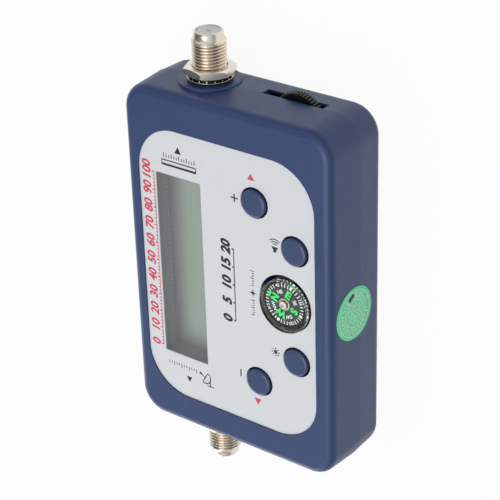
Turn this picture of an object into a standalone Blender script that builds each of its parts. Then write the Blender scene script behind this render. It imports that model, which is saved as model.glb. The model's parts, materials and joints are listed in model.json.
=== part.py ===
"""Satellite signal meter: a two-part case with a display, four push buttons, a compass,
a gain wheel at one end and a coaxial connector at each end.

The meter lies on its back. +Z comes out of its face, +X points to the receiver end and
the display is on the +Y side. The origin is under the middle of the case. Lengths are in
metres.
"""

import math

import bmesh
import bpy
from mathutils import Matrix

# Case
CASE_LENGTH = 0.1059
CASE_WIDTH = 0.0697
CASE_DEPTH = 0.0240
PARTING_DROP = 0.0007
CORNER_RADIUS = 0.0085
FRONT_EDGE_RADIUS = 0.0026
REAR_EDGE_RADIUS = 0.0035
FRONT_DRAFT = 0.0006
REAR_DRAFT = 0.0002
REAR_STEP = 0.0001
SIDE_WALL = 0.0020
FACE_WALL = 0.0028
BACK_WALL = 0.0022
INNER_CHAMFER = 0.0010
MIN_CORNER = 0.0004
LIP_HEIGHT = 0.0012
LIP_THICKNESS = 0.0009
RIB_THICKNESS = 0.0012

# Clearances
GAP = 0.0003
OVERRUN = 0.0010

# Face panel and its window, with the margins between their edges
PANEL_SHIFT_X = -0.0007
PANEL_SHIFT_Y = 0.0005
PANEL_END_MARGIN = 0.01095
PANEL_SIDE_MARGIN = 0.00545
PANEL_CORNER = 0.0135
PANEL_THICKNESS = 0.0004
PANEL_SINK = 0.0004
PANEL_CLEARANCE = 0.0002
WINDOW_END_MARGIN = 0.0135
WINDOW_SIDE_MARGIN = 0.0059
WINDOW_CORNER = 0.0003
BUTTON_FIELD_WIDTH = 0.0375
LENS_THICKNESS = 0.0006
LENS_MARGIN = 0.0013

# Display under the window
GLASS_END_MARGIN = 0.0025
GLASS_SIDE_MARGIN = 0.0033
GLASS_THICKNESS = 0.0018
LIGHT_GUIDE_THICKNESS = 0.0012
LIGHT_GUIDE_END_MARGIN = 0.0040
LIGHT_GUIDE_SIDE_MARGIN = 0.0032
HOLDER_WALL = 0.0017
HOLDER_LEDGE = 0.0007
STRIP_WIDTH = 0.0018

# Compass
COMPASS_SHIFT = -0.0003
COMPASS_EDGE_DISTANCE = 0.0159
COMPASS_HOLE_RADIUS = 0.0085
COMPASS_RADIUS = 0.00815
COMPASS_RISE = 0.0010
COMPASS_CLEARANCE = 0.0014
COMPASS_WALL = 0.0009
COMPASS_TOP_WALL = 0.0005
COMPASS_DOME_HEIGHT = 0.0020
COMPASS_EDGE = 0.0003
WELL_WALL = 0.0013
WELL_LEDGE = 0.0028
WELL_FLOOR = 0.0012
CARD_RADIUS = 0.0063
CARD_THICKNESS = 0.0003
CARD_SINK = 0.0017
JEWEL_RADIUS = 0.0016
JEWEL_HEIGHT = 0.0020
JEWEL_RISE = 0.0009
MAGNET_RADIUS = 0.0034
MAGNET_HEIGHT = 0.0010
PIVOT_RADIUS = 0.0010
PIVOT_TIP_RADIUS = 0.0002

# Buttons and their switches
BUTTON_SHIFT = -0.0005
BUTTON_RADIUS = 0.0042
BUTTON_HOLE_RADIUS = 0.0045
BUTTON_FLANGE_RADIUS = 0.0052
BUTTON_FLANGE = 0.0010
BUTTON_RISE = 0.0010
BUTTON_EDGE = 0.0008
BUTTON_TRAVEL = 0.0005
STEM_RADIUS = 0.0017
STEM_REACH = 0.0006
BUTTON_SPACING = 0.0040
OUTER_BUTTON_END_DISTANCE = 0.0143
INNER_BUTTON_EDGE_DISTANCE = 0.01245
OUTER_BUTTON_EDGE_DISTANCE = 0.02535
SWITCH_SIZE = 0.0060
SWITCH_CHAMFER = 0.0007
SWITCH_FLOOR_SHARE = 5 / 11
PLUNGER_RADIUS = 0.0015

# Gain wheel and its potentiometer
WHEEL_RADIUS = 0.0086
WHEEL_REACH = 0.00195
WHEEL_EDGE_DISTANCE = 0.0201
WHEEL_THICKNESS = 0.0025
WHEEL_TEETH = 56
TOOTH_DEPTH = 0.00035
WHEEL_HUB_RADIUS = 0.0038
WHEEL_RIM = 0.0015
WHEEL_WEB = 0.0011
SLOT_MARGIN = 0.00105
SLOT_SHIFT = 0.00135
SLOT_HEIGHT = 0.0031
POT_RADIUS = 0.0055
POT_CLEARANCE = 0.00055
ROTOR_RADIUS = 0.0019
ROTOR_COLLAR_RADIUS = 0.0028
ROTOR_COLLAR = 0.0005

# Coaxial connectors: their shift from the window's middle, then sizes along and about their axis
CONNECTOR_SHIFT = -0.0029
CONNECTOR_REACH = 0.0141
THREAD_RADIUS = 0.00475
THREAD_END = 0.0113
COLLAR_RADIUS = 0.0042
COLLAR_TAPER = 0.0009
COLLAR_EDGE = 0.0003
TAIL_RADIUS = 0.0040
TAIL_LENGTH = 0.0050
FLANGE_RADIUS = 0.0062
FLANGE_THICKNESS = 0.0020
INSULATOR_RADIUS = 0.0034
CONTACT_RADIUS = 0.0008
CONTACT_BORE = 0.0004
CONTACT_OVERLAP = 0.00145
PIN_HOLE_RADIUS = 0.0006
PAD_RADIUS = 0.0087
PAD_HEIGHT = 0.0004
PAD_EDGE = 0.0004
NUT_ACROSS_FLATS = 0.0127
NUT_THICKNESS = 0.0022
NUT_CHAMFER = 0.0005
NUT_TURNS = {"receiver": math.radians(20), "dish": math.radians(42)}
WASHER_RADIUS = 0.0065
WASHER_THICKNESS = 0.0009
WASHER_SLOTS = 14
WASHER_SLOT_REACH = 0.0006
WASHER_SLOT_DEPTH = 0.0005
WASHER_SLOT_SHARE = 0.8

# Circuit boards and what they carry
BOARD_THICKNESS = 0.0016
BOARD_EDGE_GAP = 0.0006
RF_BOARD_END_GAP = 0.00205
RF_BOARD_SIDE_MARGIN = 0.00305
SHIELD_END_MARGIN = 0.0110
SHIELD_SIDE_MARGIN = 0.00225
SHIELD_CLEARANCE = 0.0005
SHIELD_WALL = 0.0005
LID_OVERHANG = 0.0006
BUZZER_SHIFT = -0.0330
BUZZER_EDGE_DISTANCE = 0.02085
BUZZER_RADIUS = 0.0060
BUZZER_CLEARANCE = 0.0040
BUZZER_HOLE_RADIUS = 0.0012
CHIP_SHIFT = -0.0150
CHIP_EDGE_DISTANCE = 0.02885
CHIP_SIZE = 0.0100
CHIP_HEIGHT = 0.0014
HEADER_LENGTH = 0.0200
HEADER_WIDTH = 0.0025

# Screws and bosses
CASE_SCREW_END_DISTANCE = 0.01495
CASE_SCREW_SIDE_DISTANCE = 0.00645
CASE_SCREW_RADIUS = 0.0012
CASE_SCREW_HEAD_RADIUS = 0.0024
CASE_SCREW_HEAD = 0.0016
CASE_SCREW_SINK = 0.0012
CASE_SCREW_CLEARANCE = 0.0034
BOSS_WALL = 0.0015
BOARD_SCREW_END_DISTANCE = 0.00895
BOARD_SCREW_SHIFT = -0.0015
MIDDLE_SCREW_EDGE_DISTANCE = 0.03035
BOARD_SCREW_RADIUS = 0.0009
BOARD_SCREW_HEAD_RADIUS = 0.0021
BOARD_SCREW_HEAD = 0.0012
BOARD_SCREW_LENGTH = 0.0050
POST_RADIUS = 0.0018

# Round seal on the side of the case
SEAL_SHIFT = -0.0027
SEAL_MARGIN = 0.0042
SEAL_RISE = 0.0020
SEAL_THICKNESS = 0.0001
SEAL_GAP = 0.0001

# Facets
CORNER_STEPS = 6
EDGE_STEPS = 4
HOLE_STEPS = 32
TURN_STEPS = 24
BOSS_STEPS = 16
SMALL_STEPS = 12
SEAL_ROWS = 12
SHARP_ANGLE = math.radians(35)

# Heights that follow from the case
HALF_LENGTH = CASE_LENGTH / 2
HALF_WIDTH = CASE_WIDTH / 2
PARTING_HEIGHT = CASE_DEPTH / 2 - PARTING_DROP
FRONT_RIM = PARTING_HEIGHT + GAP / 2
REAR_RIM = PARTING_HEIGHT - GAP / 2
FACE_INSIDE = CASE_DEPTH - FACE_WALL
PANEL_TOP = CASE_DEPTH - PANEL_SINK
RECESS_FLOOR = PANEL_TOP - PANEL_THICKNESS - GAP
DISPLAY_BOARD_TOP = PARTING_HEIGHT + (FACE_INSIDE - PARTING_HEIGHT) / 3
DISPLAY_BOARD_BOTTOM = DISPLAY_BOARD_TOP - BOARD_THICKNESS
RF_BOARD_TOP = PARTING_HEIGHT - CONTACT_RADIUS - GAP
RF_BOARD_BOTTOM = RF_BOARD_TOP - BOARD_THICKNESS
SHIELD_TOP = RF_BOARD_BOTTOM - GAP
SHIELD_BOTTOM = BACK_WALL + SHIELD_CLEARANCE + SHIELD_WALL + GAP

# Panel, window and display
PANEL_LENGTH = CASE_LENGTH - 2 * PANEL_END_MARGIN
PANEL_WIDTH = CASE_WIDTH - 2 * PANEL_SIDE_MARGIN
PANEL_CENTRE = (PANEL_SHIFT_X, PANEL_SHIFT_Y)
WINDOW_LENGTH = PANEL_LENGTH - 2 * WINDOW_END_MARGIN
WINDOW_WIDTH = PANEL_WIDTH - BUTTON_FIELD_WIDTH - WINDOW_SIDE_MARGIN
WINDOW_OFFSET = (PANEL_WIDTH - WINDOW_WIDTH) / 2 - WINDOW_SIDE_MARGIN
WINDOW_CENTRE = (PANEL_SHIFT_X, PANEL_SHIFT_Y + WINDOW_OFFSET)
GLASS_LENGTH = WINDOW_LENGTH + 2 * GLASS_END_MARGIN
GLASS_WIDTH = WINDOW_WIDTH + 2 * GLASS_SIDE_MARGIN
LIGHT_GUIDE_LENGTH = GLASS_LENGTH - 2 * LIGHT_GUIDE_END_MARGIN
LIGHT_GUIDE_WIDTH = GLASS_WIDTH - 2 * LIGHT_GUIDE_SIDE_MARGIN
LIGHT_GUIDE_TOP = DISPLAY_BOARD_TOP + GAP + LIGHT_GUIDE_THICKNESS
GLASS_BOTTOM = LIGHT_GUIDE_TOP + GAP

# Compass and buttons
COMPASS_CENTRE = (COMPASS_SHIFT, COMPASS_EDGE_DISTANCE - HALF_WIDTH)
COMPASS_TOP = PANEL_TOP + COMPASS_RISE
COMPASS_BOTTOM = DISPLAY_BOARD_TOP + COMPASS_CLEARANCE + WELL_FLOOR + GAP
CARD_TOP = COMPASS_TOP - CARD_SINK
FLANGE_TOP = FACE_INSIDE - GAP
STEM_BOTTOM = FLANGE_TOP - BUTTON_FLANGE - STEM_REACH
PLUNGER_TOP = STEM_BOTTOM - GAP
SWITCH_TOP = PLUNGER_TOP - BUTTON_TRAVEL - GAP
SWITCH_BOTTOM = DISPLAY_BOARD_TOP + GAP
SWITCH_HOLE_FLOOR = SWITCH_BOTTOM + (SWITCH_TOP - SWITCH_BOTTOM) * SWITCH_FLOOR_SHARE
PLUNGER_BOTTOM = SWITCH_HOLE_FLOOR + BUTTON_TRAVEL + GAP
INNER_BUTTON_REACH = COMPASS_HOLE_RADIUS + BUTTON_HOLE_RADIUS + BUTTON_SPACING
OUTER_BUTTON_REACH = PANEL_LENGTH / 2 - OUTER_BUTTON_END_DISTANCE
BUTTON_PLACES = {
    name: (BUTTON_SHIFT + reach, edge_distance - HALF_WIDTH)
    for name, reach, edge_distance in (
        ("attenuator_up", OUTER_BUTTON_REACH, OUTER_BUTTON_EDGE_DISTANCE),
        ("buzzer_key", INNER_BUTTON_REACH, INNER_BUTTON_EDGE_DISTANCE),
        ("light_key", -INNER_BUTTON_REACH, INNER_BUTTON_EDGE_DISTANCE),
        ("attenuator_down", -OUTER_BUTTON_REACH, OUTER_BUTTON_EDGE_DISTANCE),
    )
}

# Gain wheel, connectors and boards
WHEEL_CENTRE = (HALF_LENGTH + WHEEL_REACH - WHEEL_RADIUS, WHEEL_EDGE_DISTANCE - HALF_WIDTH)
WHEEL_TOP = PARTING_HEIGHT - GAP - GAP / 2
WHEEL_BOTTOM = WHEEL_TOP - WHEEL_THICKNESS
SLOT_LENGTH = 2 * (WHEEL_RADIUS + SLOT_MARGIN)
SLOT_OFFSET = WHEEL_CENTRE[1] + SLOT_SHIFT
CONNECTOR_OFFSET = WINDOW_CENTRE[1] + CONNECTOR_SHIFT
FLANGE_FRONT = -SIDE_WALL - FRONT_DRAFT - GAP
FLANGE_BACK = FLANGE_FRONT - FLANGE_THICKNESS
TAIL_END = FLANGE_BACK - TAIL_LENGTH
RF_BOARD_LENGTH = 2 * (HALF_LENGTH + TAIL_END - RF_BOARD_END_GAP)
RF_BOARD_WIDTH = WINDOW_WIDTH + 2 * RF_BOARD_SIDE_MARGIN
SHIELD_LENGTH = RF_BOARD_LENGTH - 2 * SHIELD_END_MARGIN
SHIELD_WIDTH = RF_BOARD_WIDTH - 2 * SHIELD_SIDE_MARGIN
BUZZER_PLACE = (BUZZER_SHIFT, BUZZER_EDGE_DISTANCE - HALF_WIDTH)
CHIP_PLACE = (CHIP_SHIFT, CHIP_EDGE_DISTANCE - HALF_WIDTH)

# Screws and seal
CASE_SCREW_REACH = HALF_LENGTH - CASE_SCREW_END_DISTANCE
CASE_SCREW_OFFSET = HALF_WIDTH - CASE_SCREW_SIDE_DISTANCE
CASE_SCREW_LENGTH = FACE_INSIDE - CASE_SCREW_CLEARANCE - CASE_SCREW_SINK - CASE_SCREW_HEAD
BOARD_SCREW_REACH = HALF_LENGTH - BOARD_SCREW_END_DISTANCE
BOARD_SCREW_PLACES = (
    (-BOARD_SCREW_REACH, BOARD_SCREW_SHIFT),
    (BOARD_SCREW_REACH, BOARD_SCREW_SHIFT),
    (0.0, MIDDLE_SCREW_EDGE_DISTANCE - HALF_WIDTH),
)
SEAL_RADIUS = CASE_DEPTH / 2 - SEAL_MARGIN
SEAL_CENTRE = (SEAL_SHIFT, CASE_DEPTH / 2 + SEAL_RISE)


def make_material(name, colour, roughness, metallic=0.0, transmission=0.0):
    """A plain surface with its colour, roughness and metal share."""
    material = bpy.data.materials.new(name)
    material.use_nodes = True
    shader = material.node_tree.nodes["Principled BSDF"]
    shader.inputs["Base Color"].default_value = (*colour, 1.0)
    shader.inputs["Roughness"].default_value = roughness
    shader.inputs["Metallic"].default_value = metallic
    shader.inputs["Transmission Weight"].default_value = transmission
    material.diffuse_color = (*colour, 1.0)
    return material


def rounded_rectangle(length, width, radius, centre=(0, 0), steps=CORNER_STEPS):
    """Outline of a rectangle with round corners, anticlockwise seen from +Z."""
    reach, offset = length / 2 - radius, width / 2 - radius
    points = []
    corners = ((reach, offset), (-reach, offset), (-reach, -offset), (reach, -offset))
    for quarter, (x, y) in enumerate(corners):
        middle = (centre[0] + x, centre[1] + y)
        for step in range(steps + 1):
            angle = math.pi / 2 * (quarter + step / steps)
            points.append((middle[0] + radius * math.cos(angle), middle[1] + radius * math.sin(angle)))
    return points


def rectangle(length, width, centre=(0, 0)):
    """Outline of a plain rectangle, anticlockwise seen from +Z."""
    corners = ((1, 1), (-1, 1), (-1, -1), (1, -1))
    return [(centre[0] + x * length / 2, centre[1] + y * width / 2) for x, y in corners]


def circle(radius, centre=(0, 0), steps=HOLE_STEPS, start=0):
    """Outline of a circle, anticlockwise seen from +Z."""
    x, y = centre
    angles = [start + 2 * math.pi * step / steps for step in range(steps)]
    return [(x + radius * math.cos(angle), y + radius * math.sin(angle)) for angle in angles]


def toothed_circle(radius, depth, teeth, centre=(0, 0)):
    """Outline of a circle with pointed teeth."""
    points = []
    for tooth in range(teeth):
        for share, reach in ((0.0, radius), (0.5, radius - depth)):
            angle = 2 * math.pi * (tooth + share) / teeth
            points.append((centre[0] + reach * math.cos(angle), centre[1] + reach * math.sin(angle)))
    return points


def loft(sections, ring=False):
    """Solid through stacked outlines with equal point counts, lowest first.

    A ring's outlines run up its outside and back down its inside, and close on the first.
    """
    shape = bmesh.new()
    rows = [[shape.verts.new((x, y, height)) for x, y in outline] for outline, height in sections]
    pairs = list(zip(rows, rows[1:]))
    if ring:
        pairs.append((rows[-1], rows[0]))
    for lower, upper in pairs:
        for index, corner in enumerate(lower):
            following = (index + 1) % len(lower)
            shape.faces.new((corner, lower[following], upper[following], upper[index]))
    if not ring:
        shape.faces.new(reversed(rows[0]))
        shape.faces.new(rows[-1])
    return shape


def plate(outline, bottom, top):
    """Flat solid between two heights."""
    return loft([(outline, bottom), (outline, top)])


def turned(profile, centre=(0, 0), steps=TURN_STEPS, ring=False):
    """Solid turned about a line along Z, from (radius, height) pairs running up its outside."""
    return loft([(circle(radius, centre, steps), height) for radius, height in profile], ring)


def post(centre, radius, bottom, top, steps=TURN_STEPS):
    """Plain cylinder along Z."""
    return plate(circle(radius, centre, steps), bottom, top)


def block(low, high):
    """Box between two corners."""
    centre = ((low[0] + high[0]) / 2, (low[1] + high[1]) / 2)
    return plate(rectangle(high[0] - low[0], high[1] - low[1], centre), low[2], high[2])


def end_side(side, shape):
    """Turn a shape made along Z to point out of one end of the case, on the connector's axis."""
    bmesh.ops.transform(shape, matrix=end_matrix(side), verts=shape.verts)
    return shape


def end_matrix(side):
    """Place of a connector: its origin on the end face and its own Z pointing outwards."""
    place = Matrix.Translation((side * HALF_LENGTH, CONNECTOR_OFFSET, PARTING_HEIGHT))
    return place @ Matrix.Rotation(side * math.pi / 2, 4, "Y")


def make_object(name, shapes):
    """Object from one or more separate shapes."""
    joined = bmesh.new()
    for shape in shapes:
        mesh = bpy.data.meshes.new(name)
        shape.to_mesh(mesh)
        shape.free()
        joined.from_mesh(mesh)
        bpy.data.meshes.remove(mesh)
    mesh = bpy.data.meshes.new(name)
    joined.to_mesh(mesh)
    joined.free()
    mesh.shade_smooth()
    mesh.set_sharp_from_angle(angle=SHARP_ANGLE)
    made = bpy.data.objects.new(name, mesh)
    bpy.context.scene.collection.objects.link(made)
    return made


def add_piece(name, shape, material, parent, location=(0, 0, 0)):
    """One sub-part, modelled about its own location, with its material and its parent."""
    piece = make_object(name, [shape])
    piece.data.materials.append(material)
    piece.parent = parent
    piece.matrix_world = Matrix.Translation(location)
    return piece


def add_end_piece(name, shape, material, parent, side):
    """One piece of a connector, modelled along Z and laid on the connector's axis."""
    piece = add_piece(name, shape, material, parent)
    piece.matrix_world = end_matrix(side)
    return piece


def combine(piece, operation, name, shapes):
    """Join or cut a piece with a hidden guide that holds separate shapes."""
    guide = make_object(f"{piece.name}_{name}", shapes)
    guide.hide_render = True
    guide.display_type = "WIRE"
    guide.parent = piece
    guide.matrix_world = piece.matrix_world
    modifier = piece.modifiers.new(name, "BOOLEAN")
    modifier.operation = operation
    modifier.solver = "EXACT"
    modifier.object = guide
    return guide


def add_axis(name, location, parent):
    """Empty on a joint's axis, which carries the pieces that move with it."""
    axis = bpy.data.objects.new(name, None)
    bpy.context.scene.collection.objects.link(axis)
    axis.empty_display_size = BUTTON_RADIUS
    axis.parent = parent
    axis.matrix_world = Matrix.Translation(location)
    return axis


def case_outline(inset):
    """Plan outline of the case, moved in all round."""
    radius = max(CORNER_RADIUS - inset, MIN_CORNER)
    return rounded_rectangle(CASE_LENGTH - 2 * inset, CASE_WIDTH - 2 * inset, radius)


def case_screw_places():
    """Plan places of the four case screws."""
    return [(x * CASE_SCREW_REACH, y * CASE_SCREW_OFFSET) for x in (1, -1) for y in (1, -1)]


def boss_gussets(bottom, top):
    """Ribs from the case screw bosses to the long walls."""
    gussets = []
    for x, y in case_screw_places():
        side = math.copysign(1, y)
        wall_line = side * (HALF_WIDTH - SIDE_WALL / 2)
        near, far = sorted((y, wall_line))
        gussets.append(block((x - RIB_THICKNESS / 2, near, bottom), (x + RIB_THICKNESS / 2, far, top)))
    return gussets


def saddle_ribs(bottom, top):
    """Ribs behind the connectors' flanges, one at each end."""
    ribs = []
    inner = HALF_LENGTH + FLANGE_BACK - GAP - RIB_THICKNESS
    for side in (1, -1):
        near, far = sorted((side * inner, side * (inner + RIB_THICKNESS)))
        low = (near, CONNECTOR_OFFSET - FLANGE_RADIUS, bottom)
        ribs.append(block(low, (far, CONNECTOR_OFFSET + FLANGE_RADIUS, top)))
    return ribs


def connector_bores():
    """Stepped bores along both connectors, through the ribs and the end walls."""
    step = FLANGE_BACK + FLANGE_THICKNESS / 2
    profile = (
        (TAIL_RADIUS + GAP, TAIL_END - OVERRUN),
        (TAIL_RADIUS + GAP, step),
        (THREAD_RADIUS + GAP, step),
        (THREAD_RADIUS + GAP, PAD_HEIGHT + OVERRUN),
    )
    return [end_side(side, turned(profile)) for side in (1, -1)]


def pad_halves(piece, name, low, high):
    """Raised round pads under the nuts, joined to a shell on its own side of the parting line."""
    profile = (
        (PAD_RADIUS, -SIDE_WALL / 2),
        (PAD_RADIUS, PAD_HEIGHT - PAD_EDGE / 2),
        (PAD_RADIUS - PAD_EDGE, PAD_HEIGHT),
    )
    pads = [end_side(side, turned(profile, steps=HOLE_STEPS)) for side in (1, -1)]
    guide = combine(piece, "UNION", name, pads)
    reach = HALF_LENGTH + CONNECTOR_REACH
    half_space = block((-reach, -HALF_WIDTH, low), (reach, HALF_WIDTH, high))
    combine(guide, "INTERSECT", "half", [half_space])


def front_shell(material, parent):
    """Front half of the case: face with its recess and holes, compass well, bosses and ribs."""
    sections = [(case_outline(0), FRONT_RIM)]
    for step in range(EDGE_STEPS + 1):
        angle = math.pi / 2 * step / EDGE_STEPS
        inset = FRONT_DRAFT + FRONT_EDGE_RADIUS * (1 - math.cos(angle))
        sections.append((case_outline(inset), CASE_DEPTH - FRONT_EDGE_RADIUS * (1 - math.sin(angle))))
    shell = add_piece("front_shell", loft(sections), material, parent)
    rebate = case_outline(SIDE_WALL - LIP_THICKNESS - GAP)
    rebate_top = FRONT_RIM + LIP_HEIGHT + GAP
    ceiling = case_outline(SIDE_WALL + FRONT_DRAFT)
    cavity = loft([
        (rebate, FRONT_RIM - OVERRUN),
        (rebate, rebate_top),
        (case_outline(SIDE_WALL), rebate_top),
        (ceiling, FACE_INSIDE - INNER_CHAMFER),
        (case_outline(SIDE_WALL + FRONT_DRAFT + INNER_CHAMFER), FACE_INSIDE),
    ])
    combine(shell, "DIFFERENCE", "cavity", [cavity])
    rooted = FACE_INSIDE + FACE_WALL / 4
    well_bottom = COMPASS_BOTTOM - GAP - WELL_FLOOR
    bosses = [post(COMPASS_CENTRE, COMPASS_HOLE_RADIUS + WELL_WALL, well_bottom, rooted, HOLE_STEPS)]
    for place in case_screw_places():
        bosses.append(post(place, CASE_SCREW_RADIUS + GAP + BOSS_WALL, FRONT_RIM, rooted, BOSS_STEPS))
    for place in BOARD_SCREW_PLACES:
        radius = BOARD_SCREW_RADIUS + GAP + BOSS_WALL
        bosses.append(post(place, radius, DISPLAY_BOARD_TOP + GAP, rooted, BOSS_STEPS))
    combine(shell, "UNION", "bosses", bosses)
    ribs = boss_gussets(DISPLAY_BOARD_TOP + GAP, rooted) + saddle_ribs(FRONT_RIM, rooted)
    combine(shell, "UNION", "ribs", ribs)
    pad_halves(shell, "pads", FRONT_RIM, CASE_DEPTH)
    recess = rounded_rectangle(PANEL_LENGTH + 2 * PANEL_CLEARANCE, PANEL_WIDTH + 2 * PANEL_CLEARANCE,
                               PANEL_CORNER + PANEL_CLEARANCE, PANEL_CENTRE)
    combine(shell, "DIFFERENCE", "recess", [plate(recess, RECESS_FLOOR, CASE_DEPTH + OVERRUN)])
    combine(shell, "DIFFERENCE", "openings", front_openings(well_bottom))
    pilots = []
    for place in case_screw_places():
        top = CASE_SCREW_SINK + CASE_SCREW_HEAD + CASE_SCREW_LENGTH + GAP
        pilots.append(post(place, CASE_SCREW_RADIUS + GAP, FRONT_RIM - OVERRUN, top, SMALL_STEPS))
    for place in BOARD_SCREW_PLACES:
        top = DISPLAY_BOARD_BOTTOM - GAP + BOARD_SCREW_LENGTH + GAP
        pilots.append(post(place, BOARD_SCREW_RADIUS + GAP, DISPLAY_BOARD_TOP, top, SMALL_STEPS))
    combine(shell, "DIFFERENCE", "pilots", pilots)
    combine(shell, "DIFFERENCE", "bores", connector_bores())
    return shell


def front_openings(well_bottom):
    """Stepped window, button holes and compass well, each as one cutter through the face."""
    above = CASE_DEPTH + OVERRUN
    window = window_outline(GAP)
    lens_seat = window_outline(LENS_MARGIN + PANEL_CLEARANCE)
    seat_floor = RECESS_FLOOR - LENS_THICKNESS - GAP
    openings = [loft([
        (window, FACE_INSIDE - OVERRUN),
        (window, seat_floor),
        (lens_seat, seat_floor),
        (lens_seat, above),
    ])]
    ledge = COMPASS_HOLE_RADIUS - WELL_LEDGE
    well = ((ledge, well_bottom - OVERRUN), (ledge, COMPASS_BOTTOM - GAP),
            (COMPASS_HOLE_RADIUS, COMPASS_BOTTOM - GAP), (COMPASS_HOLE_RADIUS, above))
    openings.append(turned(well, COMPASS_CENTRE, HOLE_STEPS))
    for place in BUTTON_PLACES.values():
        openings.append(post(place, BUTTON_HOLE_RADIUS, FACE_INSIDE - OVERRUN, above))
    return openings


def window_outline(margin):
    """Outline of the display window, moved out all round."""
    return rounded_rectangle(WINDOW_LENGTH + 2 * margin, WINDOW_WIDTH + 2 * margin,
                             WINDOW_CORNER + margin, WINDOW_CENTRE, steps=2)


def rear_shell(material, parent):
    """Rear half of the case: back with counterbores, joint lip, screw tubes and board posts."""
    sections = []
    for step in range(EDGE_STEPS + 1):
        angle = math.pi / 2 * step / EDGE_STEPS
        inset = REAR_STEP + REAR_DRAFT + REAR_EDGE_RADIUS * (1 - math.sin(angle))
        sections.append((case_outline(inset), REAR_EDGE_RADIUS * (1 - math.cos(angle))))
    lip = case_outline(SIDE_WALL - LIP_THICKNESS)
    sections += [(case_outline(REAR_STEP), REAR_RIM), (lip, REAR_RIM), (lip, REAR_RIM + LIP_HEIGHT)]
    shell = add_piece("rear_shell", loft(sections), material, parent)
    inner = REAR_STEP + REAR_DRAFT + SIDE_WALL
    cavity = loft([
        (case_outline(inner + INNER_CHAMFER), BACK_WALL),
        (case_outline(inner), BACK_WALL + INNER_CHAMFER),
        (case_outline(SIDE_WALL), REAR_RIM),
        (case_outline(SIDE_WALL), REAR_RIM + LIP_HEIGHT + OVERRUN),
    ])
    combine(shell, "DIFFERENCE", "cavity", [cavity])
    rooted = BACK_WALL * 3 / 4
    tube = CASE_SCREW_HEAD_RADIUS + GAP + BOSS_WALL / 2
    bosses = [post(place, tube, rooted, REAR_RIM, BOSS_STEPS) for place in case_screw_places()]
    reach = RF_BOARD_LENGTH / 2 - 2 * POST_RADIUS
    for x in (reach, -reach):
        for y in (-1, 1):
            place = (x, CONNECTOR_OFFSET + y * (RF_BOARD_WIDTH / 2 - POST_RADIUS))
            bosses.append(post(place, POST_RADIUS, rooted, RF_BOARD_BOTTOM - GAP, SMALL_STEPS))
    combine(shell, "UNION", "bosses", bosses)
    combine(shell, "UNION", "ribs", boss_gussets(rooted, REAR_RIM) + saddle_ribs(rooted, REAR_RIM))
    pad_halves(shell, "pads", 0, REAR_RIM)
    counterbore = CASE_SCREW_HEAD_RADIUS + GAP
    shoulder = CASE_SCREW_SINK + CASE_SCREW_HEAD + GAP
    screw_profile = ((counterbore, -OVERRUN), (counterbore, shoulder),
                     (CASE_SCREW_RADIUS + GAP, shoulder), (CASE_SCREW_RADIUS + GAP, REAR_RIM + OVERRUN))
    cutters = [turned(screw_profile, place, BOSS_STEPS) for place in case_screw_places()]
    combine(shell, "DIFFERENCE", "screws", cutters)
    combine(shell, "DIFFERENCE", "bores", connector_bores())
    low = (HALF_LENGTH - SIDE_WALL - OVERRUN, SLOT_OFFSET - SLOT_LENGTH / 2, REAR_RIM - SLOT_HEIGHT)
    high = (HALF_LENGTH + OVERRUN, SLOT_OFFSET + SLOT_LENGTH / 2, REAR_RIM + LIP_HEIGHT + OVERRUN)
    combine(shell, "DIFFERENCE", "slot", [block(low, high)])
    relief = post(WHEEL_CENTRE, WHEEL_RADIUS + GAP, REAR_RIM - SLOT_HEIGHT, high[2], HOLE_STEPS)
    combine(shell, "DIFFERENCE", "relief", [relief])
    return shell


def face_panel(material, parent):
    """Printed panel in the recess of the face, with its window and holes."""
    outline = rounded_rectangle(PANEL_LENGTH, PANEL_WIDTH, PANEL_CORNER, PANEL_CENTRE)
    bottom = PANEL_TOP - PANEL_THICKNESS
    panel = add_piece("front_overlay", plate(outline, bottom, PANEL_TOP), material, parent)
    low, high = bottom - OVERRUN, PANEL_TOP + OVERRUN
    cuts = [plate(window_outline(0), low, high)]
    cuts.append(post(COMPASS_CENTRE, COMPASS_HOLE_RADIUS, low, high, HOLE_STEPS))
    cuts += [post(place, BUTTON_HOLE_RADIUS, low, high) for place in BUTTON_PLACES.values()]
    combine(panel, "DIFFERENCE", "holes", cuts)


def seal_sticker(material, parent):
    """Round sticker across the joint on the side, following the lean of both shells."""
    shape = bmesh.new()
    rows = {}
    for skin, offset in (("inner", SEAL_GAP), ("outer", SEAL_GAP + SEAL_THICKNESS)):
        rows[skin] = []
        for ring in range(SEAL_ROWS + 1):
            height = SEAL_CENTRE[1] - SEAL_RADIUS * math.cos(math.pi * ring / SEAL_ROWS)
            half = SEAL_RADIUS * math.sin(math.pi * ring / SEAL_ROWS)
            side = -(HALF_WIDTH - side_inset(height) + offset)
            edges = (0,) if half < SEAL_THICKNESS else (half, -half)
            rows[skin].append([shape.verts.new((edge, side, height)) for edge in edges])
    for ring in range(SEAL_ROWS):
        for skin in ("inner", "outer"):
            lower, upper = rows[skin][ring], rows[skin][ring + 1]
            shape.faces.new(lower + list(reversed(upper)))
        for edge in (0, -1):
            corners = (rows["inner"][ring][edge], rows["inner"][ring + 1][edge],
                       rows["outer"][ring + 1][edge], rows["outer"][ring][edge])
            shape.faces.new(corners)
    bmesh.ops.recalc_face_normals(shape, faces=shape.faces)
    add_piece("seal_sticker", shape, material, parent, (SEAL_CENTRE[0], 0, 0))


def side_inset(height):
    """How far the long side stands in from the case's widest line at a height."""
    if height < FRONT_RIM:
        return 0
    edge_start = CASE_DEPTH - FRONT_EDGE_RADIUS
    lean = FRONT_DRAFT * min(1, (height - FRONT_RIM) / (edge_start - FRONT_RIM))
    rise = max(0, min(height - edge_start, FRONT_EDGE_RADIUS))
    return lean + FRONT_EDGE_RADIUS - math.sqrt(FRONT_EDGE_RADIUS ** 2 - rise ** 2)


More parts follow.
